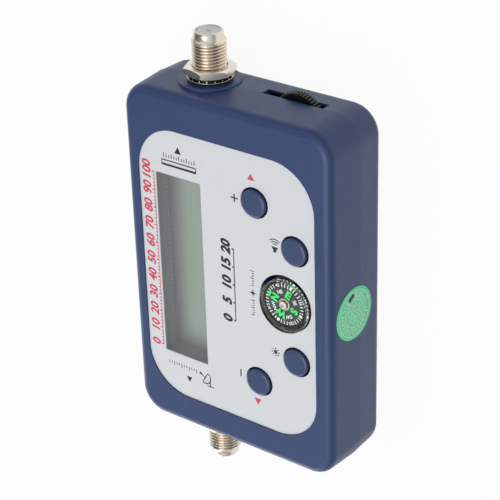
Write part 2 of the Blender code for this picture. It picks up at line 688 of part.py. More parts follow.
def screw(name, material, parent, place, sizes, bottom):
    """Pan-head screw driven upwards, from (radius, head radius, head height, length)."""
    radius, head_radius, head, length = sizes
    dome = head_radius * 3 / 4
    tip = head + length
    profile = ((dome, 0), (head_radius, head / 3), (head_radius, head), (radius, head), (radius, tip))
    add_piece(name, turned(profile, steps=SMALL_STEPS), material, parent, (*place, bottom))


def case_screws(material, parent):
    """Four screws that hold the shells together."""
    sizes = (CASE_SCREW_RADIUS, CASE_SCREW_HEAD_RADIUS, CASE_SCREW_HEAD, CASE_SCREW_LENGTH)
    for number, place in enumerate(case_screw_places(), 1):
        screw(f"case_screw_{number}", material, parent, place, sizes, CASE_SCREW_SINK)


def board_screws(material, parent):
    """Three screws that hold the display board to the front shell."""
    sizes = (BOARD_SCREW_RADIUS, BOARD_SCREW_HEAD_RADIUS, BOARD_SCREW_HEAD, BOARD_SCREW_LENGTH)
    bottom = DISPLAY_BOARD_BOTTOM - GAP - BOARD_SCREW_HEAD
    for number, place in enumerate(BOARD_SCREW_PLACES, 1):
        screw(f"board_screw_{number}", material, parent, place, sizes, bottom)


def display_stack(materials, parent):
    """Window lens, display glass, holder, light guide and contact strips."""
    lens = plate(window_outline(LENS_MARGIN), RECESS_FLOOR - LENS_THICKNESS, RECESS_FLOOR)
    add_piece("lcd_window", lens, materials["clear"], parent)
    at = (*WINDOW_CENTRE, 0)
    glass = rectangle(GLASS_LENGTH, GLASS_WIDTH)
    glass = plate(glass, GLASS_BOTTOM, GLASS_BOTTOM + GLASS_THICKNESS)
    add_piece("lcd_glass", glass, materials["lcd"], parent, at)
    bottom, shelf, top = DISPLAY_BOARD_TOP + GAP, LIGHT_GUIDE_TOP, FACE_INSIDE - GAP
    pocket_length, pocket_width = GLASS_LENGTH + 2 * GAP, GLASS_WIDTH + 2 * GAP
    outside = rectangle(pocket_length + 2 * HOLDER_WALL, pocket_width + 2 * HOLDER_WALL)
    pocket = rectangle(pocket_length, pocket_width)
    throat = rectangle(GLASS_LENGTH - 2 * HOLDER_LEDGE, GLASS_WIDTH - 2 * HOLDER_LEDGE)
    holder = [(outside, bottom), (outside, top), (pocket, top), (pocket, shelf)]
    holder += [(throat, shelf), (throat, bottom)]
    add_piece("lcd_holder", loft(holder, ring=True), materials["white"], parent, at)
    guide = rectangle(LIGHT_GUIDE_LENGTH, LIGHT_GUIDE_WIDTH)
    add_piece("lcd_light_guide", plate(guide, bottom, shelf), materials["diffuser"], parent, at)
    strip = rectangle(LIGHT_GUIDE_LENGTH, STRIP_WIDTH)
    offset = GLASS_WIDTH / 2 - HOLDER_LEDGE - GAP - STRIP_WIDTH / 2
    for name, side in (("lcd_contact_strip_outer", 1), ("lcd_contact_strip_inner", -1)):
        strip_at = (WINDOW_CENTRE[0], WINDOW_CENTRE[1] + side * offset, 0)
        add_piece(name, plate(strip, bottom, shelf), materials["rubber"], parent, strip_at)


def push_button(name, place, materials, parent):
    """Button cap and switch plunger, which travel together, and the fixed switch body."""
    axis = add_axis(f"{name}_axis", (*place, PANEL_TOP), parent)
    crown = PANEL_TOP + BUTTON_RISE
    profile = [
        (STEM_RADIUS, STEM_BOTTOM),
        (STEM_RADIUS, FLANGE_TOP - BUTTON_FLANGE),
        (BUTTON_FLANGE_RADIUS, FLANGE_TOP - BUTTON_FLANGE),
        (BUTTON_FLANGE_RADIUS, FLANGE_TOP),
        (BUTTON_RADIUS, FLANGE_TOP),
    ]
    for step in range(EDGE_STEPS + 1):
        angle = math.pi / 2 * step / EDGE_STEPS
        inset = BUTTON_EDGE * (1 - math.cos(angle))
        profile.append((BUTTON_RADIUS - inset, crown - BUTTON_EDGE * (1 - math.sin(angle))))
    add_piece(f"{name}_button", turned(profile), materials["blue"], axis, (*place, 0))
    plunger = [(PLUNGER_RADIUS, PLUNGER_BOTTOM), (PLUNGER_RADIUS, PLUNGER_TOP)]
    plunger = turned(plunger, steps=SMALL_STEPS)
    add_piece(f"{name}_plunger", plunger, materials["black"], axis, (*place, 0))
    body = rounded_rectangle(SWITCH_SIZE, SWITCH_SIZE, SWITCH_CHAMFER, steps=1)
    switch = add_piece(f"{name}_switch", plate(body, SWITCH_BOTTOM, SWITCH_TOP),
                       materials["black"], parent, (*place, 0))
    hole = post((0, 0), PLUNGER_RADIUS + GAP, SWITCH_HOLE_FLOOR, SWITCH_TOP + OVERRUN, SMALL_STEPS)
    combine(switch, "DIFFERENCE", "hole", [hole])


def compass(materials, parent):
    """Liquid capsule with its cup, dome and pivot, and the card that turns inside."""
    at = (*COMPASS_CENTRE, 0)
    inside = COMPASS_RADIUS - COMPASS_WALL
    dome_bottom = COMPASS_TOP - COMPASS_DOME_HEIGHT
    cup_top = dome_bottom - GAP
    floor = COMPASS_BOTTOM + COMPASS_WALL
    cup = loft([
        (circle(COMPASS_RADIUS), COMPASS_BOTTOM),
        (circle(COMPASS_RADIUS), cup_top),
        (circle(inside), cup_top),
        (circle(inside), floor),
    ])
    add_piece("compass_cup", cup, materials["black"], parent, at)
    dome = [(COMPASS_RADIUS, dome_bottom)]
    for step in range(EDGE_STEPS + 1):
        angle = math.pi / 2 * step / EDGE_STEPS
        inset = COMPASS_EDGE * (1 - math.cos(angle))
        dome.append((COMPASS_RADIUS - inset, COMPASS_TOP - COMPASS_EDGE * (1 - math.sin(angle))))
    shell = add_piece("compass_dome", turned(dome, steps=HOLE_STEPS), materials["clear"], parent, at)
    ceiling = COMPASS_TOP - COMPASS_TOP_WALL
    hollow = post((0, 0), inside, dome_bottom - OVERRUN, ceiling, HOLE_STEPS)
    combine(shell, "DIFFERENCE", "hollow", [hollow])
    axis = add_axis("compass_axis", (*COMPASS_CENTRE, CARD_TOP), parent)
    card_bottom = CARD_TOP - CARD_THICKNESS
    hub = JEWEL_RADIUS + GAP
    card = [(CARD_RADIUS, card_bottom), (CARD_RADIUS, CARD_TOP), (hub, CARD_TOP), (hub, card_bottom)]
    add_piece("compass_card", turned(card, steps=HOLE_STEPS, ring=True), materials["black"], axis, at)
    jewel_top = CARD_TOP + JEWEL_RISE
    jewel_bottom = jewel_top - JEWEL_HEIGHT
    tip = jewel_bottom + JEWEL_HEIGHT / 2
    mouth = JEWEL_RADIUS - GAP
    jewel = [(JEWEL_RADIUS, jewel_bottom), (JEWEL_RADIUS, jewel_top - GAP), (mouth, jewel_top)]
    jewel = add_piece("compass_jewel", turned(jewel, steps=SMALL_STEPS), materials["brass"], axis, at)
    socket = ((mouth, jewel_bottom - OVERRUN), (mouth, jewel_bottom), (PIVOT_TIP_RADIUS, tip + GAP))
    combine(jewel, "DIFFERENCE", "socket", [turned(socket, steps=SMALL_STEPS)])
    magnet_top = card_bottom - GAP
    magnet_bottom = magnet_top - MAGNET_HEIGHT
    magnet = [(MAGNET_RADIUS, magnet_bottom), (MAGNET_RADIUS, magnet_top)]
    magnet += [(hub, magnet_top), (hub, magnet_bottom)]
    add_piece("compass_magnet", turned(magnet, ring=True), materials["steel"], axis, at)
    shoulder = jewel_bottom - GAP - PIVOT_RADIUS
    pivot = [(PIVOT_RADIUS, floor + GAP), (PIVOT_RADIUS, shoulder), (PIVOT_TIP_RADIUS, tip)]
    add_piece("compass_pivot", turned(pivot, steps=SMALL_STEPS), materials["brass"], parent, at)


def gain_wheel(materials, parent):
    """Knurled wheel on the rotor of a potentiometer that hangs from the display board."""
    at = (*WHEEL_CENTRE, 0)
    axis = add_axis("gain_wheel_axis", (*WHEEL_CENTRE, WHEEL_TOP), parent)
    rim = toothed_circle(WHEEL_RADIUS, TOOTH_DEPTH, WHEEL_TEETH)
    wheel = add_piece("gain_wheel", plate(rim, WHEEL_BOTTOM, WHEEL_TOP), materials["olive"], axis, at)
    bore = post((0, 0), ROTOR_RADIUS + GAP, WHEEL_BOTTOM - OVERRUN, WHEEL_TOP + OVERRUN)
    combine(wheel, "DIFFERENCE", "bore", [bore])
    inner, outer = WHEEL_HUB_RADIUS, WHEEL_RADIUS - TOOTH_DEPTH - WHEEL_RIM
    web_bottom = (WHEEL_BOTTOM + WHEEL_TOP - WHEEL_WEB) / 2
    below = WHEEL_BOTTOM - OVERRUN
    dish = [(outer, below), (outer, web_bottom), (inner, web_bottom), (inner, below)]
    combine(wheel, "DIFFERENCE", "dish", [turned(dish, ring=True)])
    pot_top = DISPLAY_BOARD_BOTTOM - GAP
    pot_bottom = WHEEL_TOP + POT_CLEARANCE
    bore_radius = ROTOR_RADIUS + GAP
    pot = [(POT_RADIUS, pot_bottom), (POT_RADIUS, pot_top)]
    pot += [(bore_radius, pot_top), (bore_radius, pot_bottom)]
    add_piece("potentiometer_body", turned(pot, ring=True), materials["black"], parent, at)
    collar_bottom = WHEEL_BOTTOM - GAP - ROTOR_COLLAR
    rotor = [(ROTOR_COLLAR_RADIUS, collar_bottom), (ROTOR_COLLAR_RADIUS, collar_bottom + ROTOR_COLLAR),
             (ROTOR_RADIUS, collar_bottom + ROTOR_COLLAR), (ROTOR_RADIUS, pot_top - GAP)]
    add_piece("potentiometer_rotor", turned(rotor), materials["white"], axis, at)


def display_board(material, parent):
    """Board under the face, notched round the bosses and the connectors."""
    inset = SIDE_WALL + FRONT_DRAFT + BOARD_EDGE_GAP
    blank = plate(case_outline(inset), DISPLAY_BOARD_BOTTOM, DISPLAY_BOARD_TOP)
    board = add_piece("display_board", blank, material, parent)
    low, high = DISPLAY_BOARD_BOTTOM - OVERRUN, DISPLAY_BOARD_TOP + OVERRUN
    notch = CASE_SCREW_RADIUS + BOSS_WALL + 2 * GAP
    hole = BOARD_SCREW_RADIUS + GAP
    cuts = [post(place, hole, low, high, SMALL_STEPS) for place in BOARD_SCREW_PLACES]
    for x, y in case_screw_places():
        edge = math.copysign(HALF_WIDTH, y)
        near, far = sorted((y - math.copysign(notch, y), edge))
        cuts.append(block((x - notch, near, low), (x + notch, far, high)))
    clear = FLANGE_RADIUS + BOARD_EDGE_GAP
    inner = HALF_LENGTH + TAIL_END - BOARD_EDGE_GAP
    for side in (1, -1):
        near, far = sorted((side * inner, side * HALF_LENGTH))
        cuts.append(block((near, CONNECTOR_OFFSET - clear, low), (far, CONNECTOR_OFFSET + clear, high)))
    combine(board, "DIFFERENCE", "notches", cuts)


def rf_assembly(materials, parent):
    """Board on the connectors' axis, its shield frame and lid, and the header between boards."""
    at = (0, CONNECTOR_OFFSET, 0)
    board = rectangle(RF_BOARD_LENGTH, RF_BOARD_WIDTH)
    add_piece("rf_board", plate(board, RF_BOARD_BOTTOM, RF_BOARD_TOP), materials["board"], parent, at)
    outside = rectangle(SHIELD_LENGTH, SHIELD_WIDTH)
    inside = rectangle(SHIELD_LENGTH - 2 * SHIELD_WALL, SHIELD_WIDTH - 2 * SHIELD_WALL)
    frame = [(outside, SHIELD_BOTTOM), (outside, SHIELD_TOP), (inside, SHIELD_TOP), (inside, SHIELD_BOTTOM)]
    add_piece("rf_shield_frame", loft(frame, ring=True), materials["tin"], parent, at)
    lid = rectangle(SHIELD_LENGTH + 2 * LID_OVERHANG, SHIELD_WIDTH + 2 * LID_OVERHANG)
    lid_top = SHIELD_BOTTOM - GAP
    add_piece("rf_shield_lid", plate(lid, lid_top - SHIELD_WALL, lid_top), materials["tin"], parent, at)
    header_bottom, header_top = RF_BOARD_TOP + GAP, DISPLAY_BOARD_BOTTOM - GAP
    header = plate(rectangle(HEADER_LENGTH, HEADER_WIDTH), header_bottom, header_top)
    add_piece("board_header", header, materials["black"], parent, at)


def board_parts(materials, parent):
    """Buzzer and processor under the display board."""
    top = DISPLAY_BOARD_BOTTOM - GAP
    floor = BACK_WALL + BUZZER_CLEARANCE
    can = post((0, 0), BUZZER_RADIUS, floor, top)
    buzzer = add_piece("buzzer", can, materials["black"], parent, (*BUZZER_PLACE, 0))
    sound_hole = post((0, 0), BUZZER_HOLE_RADIUS, floor - OVERRUN, floor + OVERRUN, SMALL_STEPS)
    combine(buzzer, "DIFFERENCE", "sound_hole", [sound_hole])
    chip = plate(rectangle(CHIP_SIZE, CHIP_SIZE), top - CHIP_HEIGHT, top)
    add_piece("processor", chip, materials["black"], parent, (*CHIP_PLACE, 0))


def washer_slots(top):
    """Cutters for the slots round the lock washer's upper edge."""
    slots = []
    inner, outer = WASHER_RADIUS - WASHER_SLOT_REACH, WASHER_RADIUS + OVERRUN
    half = math.pi / WASHER_SLOTS * WASHER_SLOT_SHARE
    for number in range(WASHER_SLOTS):
        middle = 2 * math.pi * number / WASHER_SLOTS
        corners = ((inner, -half), (outer, -half), (outer, half), (inner, half))
        outline = [(r * math.cos(middle + a), r * math.sin(middle + a)) for r, a in corners]
        slots.append(plate(outline, top - WASHER_SLOT_DEPTH, top + OVERRUN))
    return slots


def connector(name, side, materials, parent):
    """Threaded coaxial socket with its insulator, contact, lock washer and nut."""
    collar = THREAD_END + COLLAR_TAPER
    bore = INSULATOR_RADIUS
    barrel = turned((
        (TAIL_RADIUS, TAIL_END), (TAIL_RADIUS, FLANGE_BACK), (FLANGE_RADIUS, FLANGE_BACK),
        (FLANGE_RADIUS, FLANGE_FRONT), (THREAD_RADIUS, FLANGE_FRONT), (THREAD_RADIUS, THREAD_END),
        (COLLAR_RADIUS, collar), (COLLAR_RADIUS, CONNECTOR_REACH - COLLAR_EDGE),
        (COLLAR_RADIUS - COLLAR_EDGE, CONNECTOR_REACH), (bore, CONNECTOR_REACH), (bore, TAIL_END),
    ), ring=True)
    add_end_piece(f"{name}_connector_barrel", barrel, materials["nickel"], parent, side)
    front = CONNECTOR_REACH - GAP / 2
    socket_end = front - OVERRUN
    wide = CONTACT_RADIUS + GAP
    insulator = turned((
        (bore - GAP / 2, TAIL_END + GAP), (bore - GAP / 2, front), (PIN_HOLE_RADIUS, front),
        (PIN_HOLE_RADIUS, socket_end), (wide, socket_end), (wide, TAIL_END + GAP),
    ), ring=True)
    add_end_piece(f"{name}_connector_insulator", insulator, materials["white"], parent, side)
    tip = socket_end - GAP
    mouth = CONTACT_BORE
    root = RF_BOARD_LENGTH / 2 - CONTACT_OVERLAP - HALF_LENGTH
    contact = turned(((CONTACT_RADIUS, root), (CONTACT_RADIUS, tip), (mouth, tip),
                      (mouth, tip - THREAD_RADIUS)), steps=SMALL_STEPS)
    add_end_piece(f"{name}_connector_contact", contact, materials["brass"], parent, side)
    hole = THREAD_RADIUS + GAP
    washer_bottom = PAD_HEIGHT + GAP
    washer_top = washer_bottom + WASHER_THICKNESS
    washer = turned([(WASHER_RADIUS, washer_bottom), (WASHER_RADIUS, washer_top),
                     (hole, washer_top), (hole, washer_bottom)], steps=HOLE_STEPS, ring=True)
    washer = add_end_piece(f"{name}_connector_washer", washer, materials["nickel"], parent, side)
    combine(washer, "DIFFERENCE", "slots", washer_slots(washer_top))
    nut_bottom = washer_top + GAP
    nut_top = nut_bottom + NUT_THICKNESS
    corner = NUT_ACROSS_FLATS / math.sqrt(3)
    hexagon = circle(corner, steps=6, start=NUT_TURNS[name])
    nut = add_end_piece(f"{name}_connector_nut", plate(hexagon, nut_bottom, nut_top),
                        materials["nickel"], parent, side)
    flat = NUT_ACROSS_FLATS / 2
    turned_edge = [(flat, nut_bottom), (corner + GAP, nut_bottom + NUT_CHAMFER),
                   (corner + GAP, nut_top - NUT_CHAMFER), (flat, nut_top)]
    combine(nut, "INTERSECT", "chamfer", [turned(turned_edge)])
    combine(nut, "DIFFERENCE", "bore", [post((0, 0), hole, nut_bottom - OVERRUN, nut_top + OVERRUN)])


def main():
    """Clear the scene and build the meter."""
    for existing in list(bpy.data.objects):
        bpy.data.objects.remove(existing, do_unlink=True)
    materials = {
        "blue": make_material("blue_plastic", (0.058, 0.076, 0.165), 0.42),
        "panel": make_material("printed_panel", (0.66, 0.69, 0.70), 0.45),
        "clear": make_material("clear_plastic", (0.90, 0.92, 0.92), 0.08, transmission=1.0),
        "lcd": make_material("display_glass", (0.30, 0.36, 0.31), 0.15),
        "white": make_material("white_plastic", (0.78, 0.82, 0.86), 0.45),
        "diffuser": make_material("diffuser", (0.80, 0.86, 0.78), 0.50),
        "rubber": make_material("contact_rubber", (0.25, 0.12, 0.12), 0.80),
        "black": make_material("black_plastic", (0.020, 0.021, 0.022), 0.45),
        "olive": make_material("wheel_plastic", (0.050, 0.050, 0.036), 0.55),
        "board": make_material("circuit_board", (0.020, 0.150, 0.060), 0.45),
        "tin": make_material("tinplate", (0.62, 0.62, 0.60), 0.35, 1.0),
        "steel": make_material("screw_steel", (0.50, 0.50, 0.50), 0.35, 1.0),
        "brass": make_material("brass", (0.70, 0.56, 0.30), 0.30, 1.0),
        "nickel": make_material("nickel_plate", (0.66, 0.62, 0.55), 0.28, 1.0),
        "seal": make_material("seal_paper", (0.08, 0.62, 0.24), 0.50),
    }
    case = add_axis("case", (0, 0, 0), None)
    front_shell(materials["blue"], case)
    rear_shell(materials["blue"], case)
    face_panel(materials["panel"], case)
    seal_sticker(materials["seal"], case)
    case_screws(materials["steel"], case)
    board_screws(materials["steel"], case)
    display_stack(materials, case)
    for name, place in BUTTON_PLACES.items():
        push_button(name, place, materials, case)
    compass(materials, case)
    gain_wheel(materials, case)
    display_board(materials["board"], case)
    rf_assembly(materials, case)
    board_parts(materials, case)
    connector("receiver", 1, materials, case)
    connector("dish", -1, materials, case)


main()
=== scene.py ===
"""Looks of the satellite signal meter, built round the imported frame. Shapes are in millimetres."""

import json
from math import cos, hypot, pi, radians, sin, sqrt

import bmesh
import bpy
from mathutils import Matrix, Vector

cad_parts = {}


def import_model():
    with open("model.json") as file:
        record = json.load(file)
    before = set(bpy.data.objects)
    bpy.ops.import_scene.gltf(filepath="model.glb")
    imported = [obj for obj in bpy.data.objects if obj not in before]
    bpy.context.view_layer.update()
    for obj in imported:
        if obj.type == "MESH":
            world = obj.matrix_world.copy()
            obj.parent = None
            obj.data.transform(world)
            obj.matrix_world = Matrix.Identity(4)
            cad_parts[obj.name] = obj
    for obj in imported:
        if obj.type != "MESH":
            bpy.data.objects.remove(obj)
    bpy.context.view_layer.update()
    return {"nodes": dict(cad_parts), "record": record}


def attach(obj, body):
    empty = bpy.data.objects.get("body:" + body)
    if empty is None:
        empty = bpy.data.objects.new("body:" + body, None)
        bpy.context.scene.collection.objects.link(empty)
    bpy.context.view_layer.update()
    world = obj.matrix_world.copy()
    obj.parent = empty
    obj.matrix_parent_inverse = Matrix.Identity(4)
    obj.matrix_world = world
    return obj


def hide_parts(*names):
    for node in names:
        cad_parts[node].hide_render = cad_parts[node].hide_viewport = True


MM = 0.001
TURN = 2 * pi
QUARTER = pi / 2
FINE = 96

# Case
CASE_LENGTH = 105.9
CASE_WIDTH = 69.7
CASE_DEPTH = 24.0
PARTING_HEIGHT = 11.3
CORNER_RADIUS = 8.5
LEAST_CORNER = 0.4
FRONT_EDGE_RADIUS = 2.6
REAR_EDGE_RADIUS = 3.5
FRONT_DRAFT = 0.6
REAR_DRAFT = 0.2
REAR_STEP = 0.1
SIDE_WALL = 2.0
FACE_WALL = 2.8
BACK_WALL = 2.2
INNER_CHAMFER = 1.0
JOINT_GAP = 0.03
JOINT_EDGE = 0.06
LIP_HEIGHT = 1.2
LIP_THICKNESS = 0.9
LIP_CLEARANCE = 0.1
EDGE_STEPS = 10
CASE_BEVEL = 0.10
GAP = 0.3
OVERRUN = 1.0
HALF_LENGTH = CASE_LENGTH / 2
HALF_WIDTH = CASE_WIDTH / 2
FACE_INSIDE = CASE_DEPTH - FACE_WALL

# Screws in the back
SCREW_PLACES = [(x * 38.0, y * 28.4) for x in (1, -1) for y in (1, -1)]
SCREW_TUBE = (3.45, 1.6)
SCREW_HOLE = ((2.7, -OVERRUN), (2.7, 3.1), (1.5, 3.1), (1.5, 12.3))
SCREW_PROFILE = ((0.6, 1.2), (1.2, 1.26), (1.7, 1.42), (2.1, 1.70), (2.35, 2.05), (2.4, 2.3), (2.4, 2.8),
                 (1.2, 2.8), (1.2, 17.5))
CROSS_ARM = (1.15, 0.28)
CROSS_LEVELS = (0.8, 2.3)

# Face
PANEL_CENTRE = (-0.7, 0.5)
PANEL_LENGTH = 84.0
PANEL_WIDTH = 58.8
PANEL_CORNER = 13.5
PANEL_TOP = 23.6
PANEL_BOTTOM = 23.2
PANEL_CLEARANCE = 0.06
PANEL_STEPS = 24
RECESS_FLOOR = 22.9
WINDOW_CENTRE = (-0.7, 16.3)
WINDOW_LENGTH = 57.0
WINDOW_WIDTH = 15.4
WINDOW_CORNER = 0.3
WINDOW_STEPS = 3
WINDOW_CLEARANCE = 0.2
LEDGE_WIDTH = 1.5
LEDGE_HEIGHT = 22.0

# Display
LENS_CLEARANCE = 0.25
LENS_LEVELS = (22.3, PANEL_TOP - 0.1)
MASK_CLEARANCE = 0.02
MASK_WALL = 0.2
MASK_LEVELS = (18.22, 23.52)
CELL_SIZE = (62, 22)
CELL_LEVELS = (16.4, 18.15)
AREA_SIZE = (58.5, 17.4)
AREA_SHIFT = -0.5
AREA_LEVELS = (18.10, 18.2)
MARK_COUNT = 28
MARK_START = -17.5
MARK_PITCH = 1.45
MARK_WIDTH = 0.55
MARK_LEVELS = (19.45, 19.8)
MARK_WALL = (7.45, 7.58)
HOLDER_SIZE = (66, 26)
HOLDER_POCKET = (62.6, 22.6)
HOLDER_THROAT = (60.6, 20.6)
HOLDER_LEVELS = (14.9, 16.1, 20.9)

# Buttons
BUTTON_PLACES = {
    "attenuator_up": (27.2, -9.5),
    "buzzer_key": (16.5, -22.4),
    "light_key": (-17.5, -22.4),
    "attenuator_down": (-28.2, -9.5),
}
BUTTON_RADIUS = 3.97
BUTTON_HOLE_RADIUS = 4.5
BUTTON_FLANGE_RADIUS = 5.2
BUTTON_FLANGE_LEVELS = (19.9, 20.9)
BUTTON_STEM = (1.7, 19.3)
BUTTON_TOP = 24.68
BUTTON_EDGE = 0.30
BUTTON_EDGE_SWEEP = radians(70)
BUTTON_CROWN = 0.05
BUTTON_CHAMFER = (0.34, 0.14)
CROWN_SHARES = (0.9, 0.75, 0.55, 0.35, 0.15)

# Compass
COMPASS_CENTRE = (-0.3, -18.95)
CAPSULE_CENTRE = (-0.68, -19.16)
COMPASS_HOLE_RADIUS = 8.5
COMPASS_RADIUS = 7.80
COMPASS_TOP = 25.2
COMPASS_BOTTOM = 17.5
COMPASS_EDGE = 0.3
CUP_RIM = 22.3
WELL_RADIUS = 9.8
WELL_THROAT = 5.7
WELL_LEVELS = (16.0, 17.2)
CARD_TOP = 22.9
CARD_THICKNESS = 0.3
CARD_RADIUS = 6.3
CARD_BORE = 1.9
JEWEL_TOP = 24.45
NORTH = radians(68)
NORTH_TIP = ((6.25, 0), (4.85, 0.9), (4.85, -0.9))

# Gain wheel and its slot
WHEEL_CENTRE = (46.3, -14.75)
WHEEL_RADIUS = 8.6
WHEEL_TOP = 10.85
WHEEL_BOTTOM = 8.35
WHEEL_TEETH = 56
WHEEL_CHAMFER = 0.25
WHEEL_BORE = 2.2
WHEEL_DISH = (3.8, 6.8, 9.05)
TOOTH_SHARES = ((0.0, 0), (0.30, 0), (0.48, 1), (0.82, 1))
TOOTH_START_SHARE = 0.09
SLOT_LENGTH = 19.3
SLOT_OFFSET = -13.4
SLOT_BOTTOM = 8.1
PIT_BOTTOM = 5.2
PIT_WALL = 0.9
PIT_OVERLAP = 0.5

# Connectors: heights are distances from the end face
CONNECTOR_OFFSET = 13.4
CONNECTOR_REACH = 14.1
CONNECTOR_BORE = 5.05
BARREL_BORE = 3.4
BARREL_TAIL = -9.9
BARREL_FLANGE = ((4.0, BARREL_TAIL), (4.0, -4.9), (6.2, -4.9), (6.2, -2.9))
THREAD_RADIUS = 4.75
THREAD_DEPTH = 0.42
THREAD_PITCH = 0.90
THREAD_START = 1.3
THREAD_END = 11.4
THREAD_STEPS = 56
ROWS_PER_PITCH = 10
COLLAR_RADIUS = 4.15
COLLAR_PROFILE = ((0.18, 12.0), (0.03, 12.4), (-0.06, 13.4), (-0.13, 13.8), (-0.27, 14.02),
                  (-0.4, CONNECTOR_REACH))
INSULATOR_PROFILE = ((3.32, -9.6), (3.32, 13.8), (3.2, 13.94), (1.5, 13.96), (1.25, 13.85), (0.75, 13.82),
                     (0.62, 13.6), (0.62, 12.6), (1.1, 12.6), (1.1, -9.6))
PAD_RADIUS = 8.7
PAD_HEIGHT = 0.4
PAD_EDGE = 0.4
NUT_ACROSS_FLATS = 12.7
NUT_BOTTOM = 2.0
NUT_TOP = 4.2
NUT_BORE = 4.9
NUT_EDGE = (0.25, 0.55)
NUT_TURNS = {"receiver": radians(17.5), "dish": radians(42)}
WASHER_BOTTOM = 0.95
WASHER_TOP = 1.75
WASHER_RADIUS = 6.4
WASHER_INSIDE = 5.5
WASHER_HOOP = 0.19
WASHER_POSTS = 18
POST_WIDTHS = (0.026, 0.032)

# Seal on the side
SEAL_RADIUS = 7.8
SEAL_CENTRE = (-2.7, 14.0)
SEAL_LEVELS = (0.03, 0.13)
SEAL_HUB = 0.02
SEAL_ROWS = 20
SEAL_INK_LEVELS = (0.12, 0.15)
SEAL_RINGS = ((6.8, 0.20), (3.95, 0.20))
SEAL_STROKES = 44
SEAL_BARE = (8, 9)
SEAL_PITCH = 0.72
SEAL_FIELD = 3.4

# Printing
INK_SINK = 0.02
INK_RISE = 0.015
RED_ENDS = (-27.6, 27.4)
RED_LEVELS = (24.72, 24.75, 25.2, 25.5, 27.35)
RED_ARROWS = (((35.5, -8.6), (33.6, -7.4), (33.6, -9.8)), ((-36.2, -8.8), (-34.1, -7.6), (-34.1, -9.95)))
RECEIVER_ARROW = ((36.9, 15.8), (34.85, 17.0), (34.85, 14.75))
RECEIVER_LINES = (
    ((32.05, 9.85), (32.05, 21.65), 0.34), ((30.75, 9.85), (30.75, 21.65), 0.62),
    ((30.5, 21.6), (32.1, 21.6), 0.25), ((30.5, 9.9), (32.1, 9.9), 0.25),
)
DISH_ARROW = ((-37.5, 15.8), (-35.65, 16.75), (-35.65, 14.75))
DISH_PLACE = (-33.9, 9.9)
DISH_HORN = (0.95, 1.6)
DISH_LINES = (
    ((-1.65, 0.95), (1.65, -0.95), 0.26), ((0, 0), DISH_HORN, 0.3),
    ((-0.8, -1.7), (-2.5, -1.9), 0.3), ((-2.5, -3.0), (-2.5, -0.7), 0.3),
)
PLUS_PLACE = (26.9, -2.9)
MINUS_PLACE = (-27.6, -3.1)
SIGN_REACH = 1.2
SIGN_WIDTH = 0.42
SPEAKER_PLACE = (16.0, -15.9)
SPEAKER = ((-1.6, -0.5), (-0.9, -0.5), (0, -1.2), (0, 1.2), (-0.9, 0.5), (-1.6, 0.5))
LAMP_PLACE = (-16.6, -15.4)
STAR_PLACE = (-0.4, -8.2)

SHARP_ANGLE = radians(38)
BEVEL_ANGLE = radians(40)
NUT_BEVEL_ANGLE = radians(22)

# Studio: lamps and camera in metres, the floor in millimetres
LAMPS = (
    ("key_softbox", (-0.56, 0.50, 1.40), (2.2, 2.2), 24.0, True),
    ("right_softbox", (0.35, -0.70, 0.25), (0.40, 0.30), 0.3, True),
    ("strip_softbox", (-0.32, -0.13, 1.38), (0.95, 0.85), 5.2, False),
    ("rim_softbox", (-1.137, 0.857, 0.30), (1.30, 0.60), 5.0, False),
)
LAMP_TARGET = (0, 0, 0.01)
WORLD_LEVEL = 0.42
SHADE_DIRECTION = (-0.20, 0.56, 0.80)
SHADE_GLOSS, SHADE_SPAN = (0.40, -0.20), (0.70, 0.95)
HORIZON_GLOSS, HORIZON_SPAN = (-0.42, 0.0), (0.15, 0.75)
FLOOR_REACH = 1500
FLOOR_HEIGHT = -0.15
FLOOR_GREY = 0.55
FLOOR_WHITE = 0.95
FLOOR_GLOSS = 0.93
CAMERA_LENS = 124.08
CAMERA_ROWS = (
    (-0.027931, 0.881466, 0.471421, 0.229903),
    (-0.800569, 0.262682, -0.538598, -0.255841),
    (-0.598589, -0.392448, 0.698337, 0.345409),
    (0, 0, 0, 1),
)

# Finishes by slot, and by short name where a piece looks different from its slot
LOOKS = {}


# Shapes

def polar(radius, angle, centre=(0, 0)):
    """Point at a distance and an angle from a centre."""
    return (centre[0] + radius * cos(angle), centre[1] + radius * sin(angle))


def rounded_rectangle(length, width, radius, centre=(0, 0), steps=12):
    """Outline of a rectangle with round corners, anticlockwise seen from +Z."""
    reach, offset = length / 2 - radius, width / 2 - radius
    points = []
    for quarter, (x, y) in enumerate(((1, 1), (-1, 1), (-1, -1), (1, -1))):
        corner = (centre[0] + x * reach, centre[1] + y * offset)
        points += [polar(radius, QUARTER * (quarter + step / steps), corner) for step in range(steps + 1)]
    return points


def rectangle(length, width, centre=(0, 0)):
    """Outline of a plain rectangle."""
    shares = ((0.5, 0.5), (-0.5, 0.5), (-0.5, -0.5), (0.5, -0.5))
    return [(centre[0] + length * x, centre[1] + width * y) for x, y in shares]


def circle(radius, centre=(0, 0), steps=64, start=0.0):
    """Outline of a circle."""
    return [polar(radius, start + TURN * step / steps, centre) for step in range(steps)]


def rounded_edge(side, top, radius, steps=6, sweep=QUARTER):
    """Profile of a rounded edge, from its side up to its top."""
    angles = [sweep * step / steps for step in range(steps + 1)]
    return [(side - radius * (1 - cos(a)), top - radius * (1 - sin(a))) for a in angles]


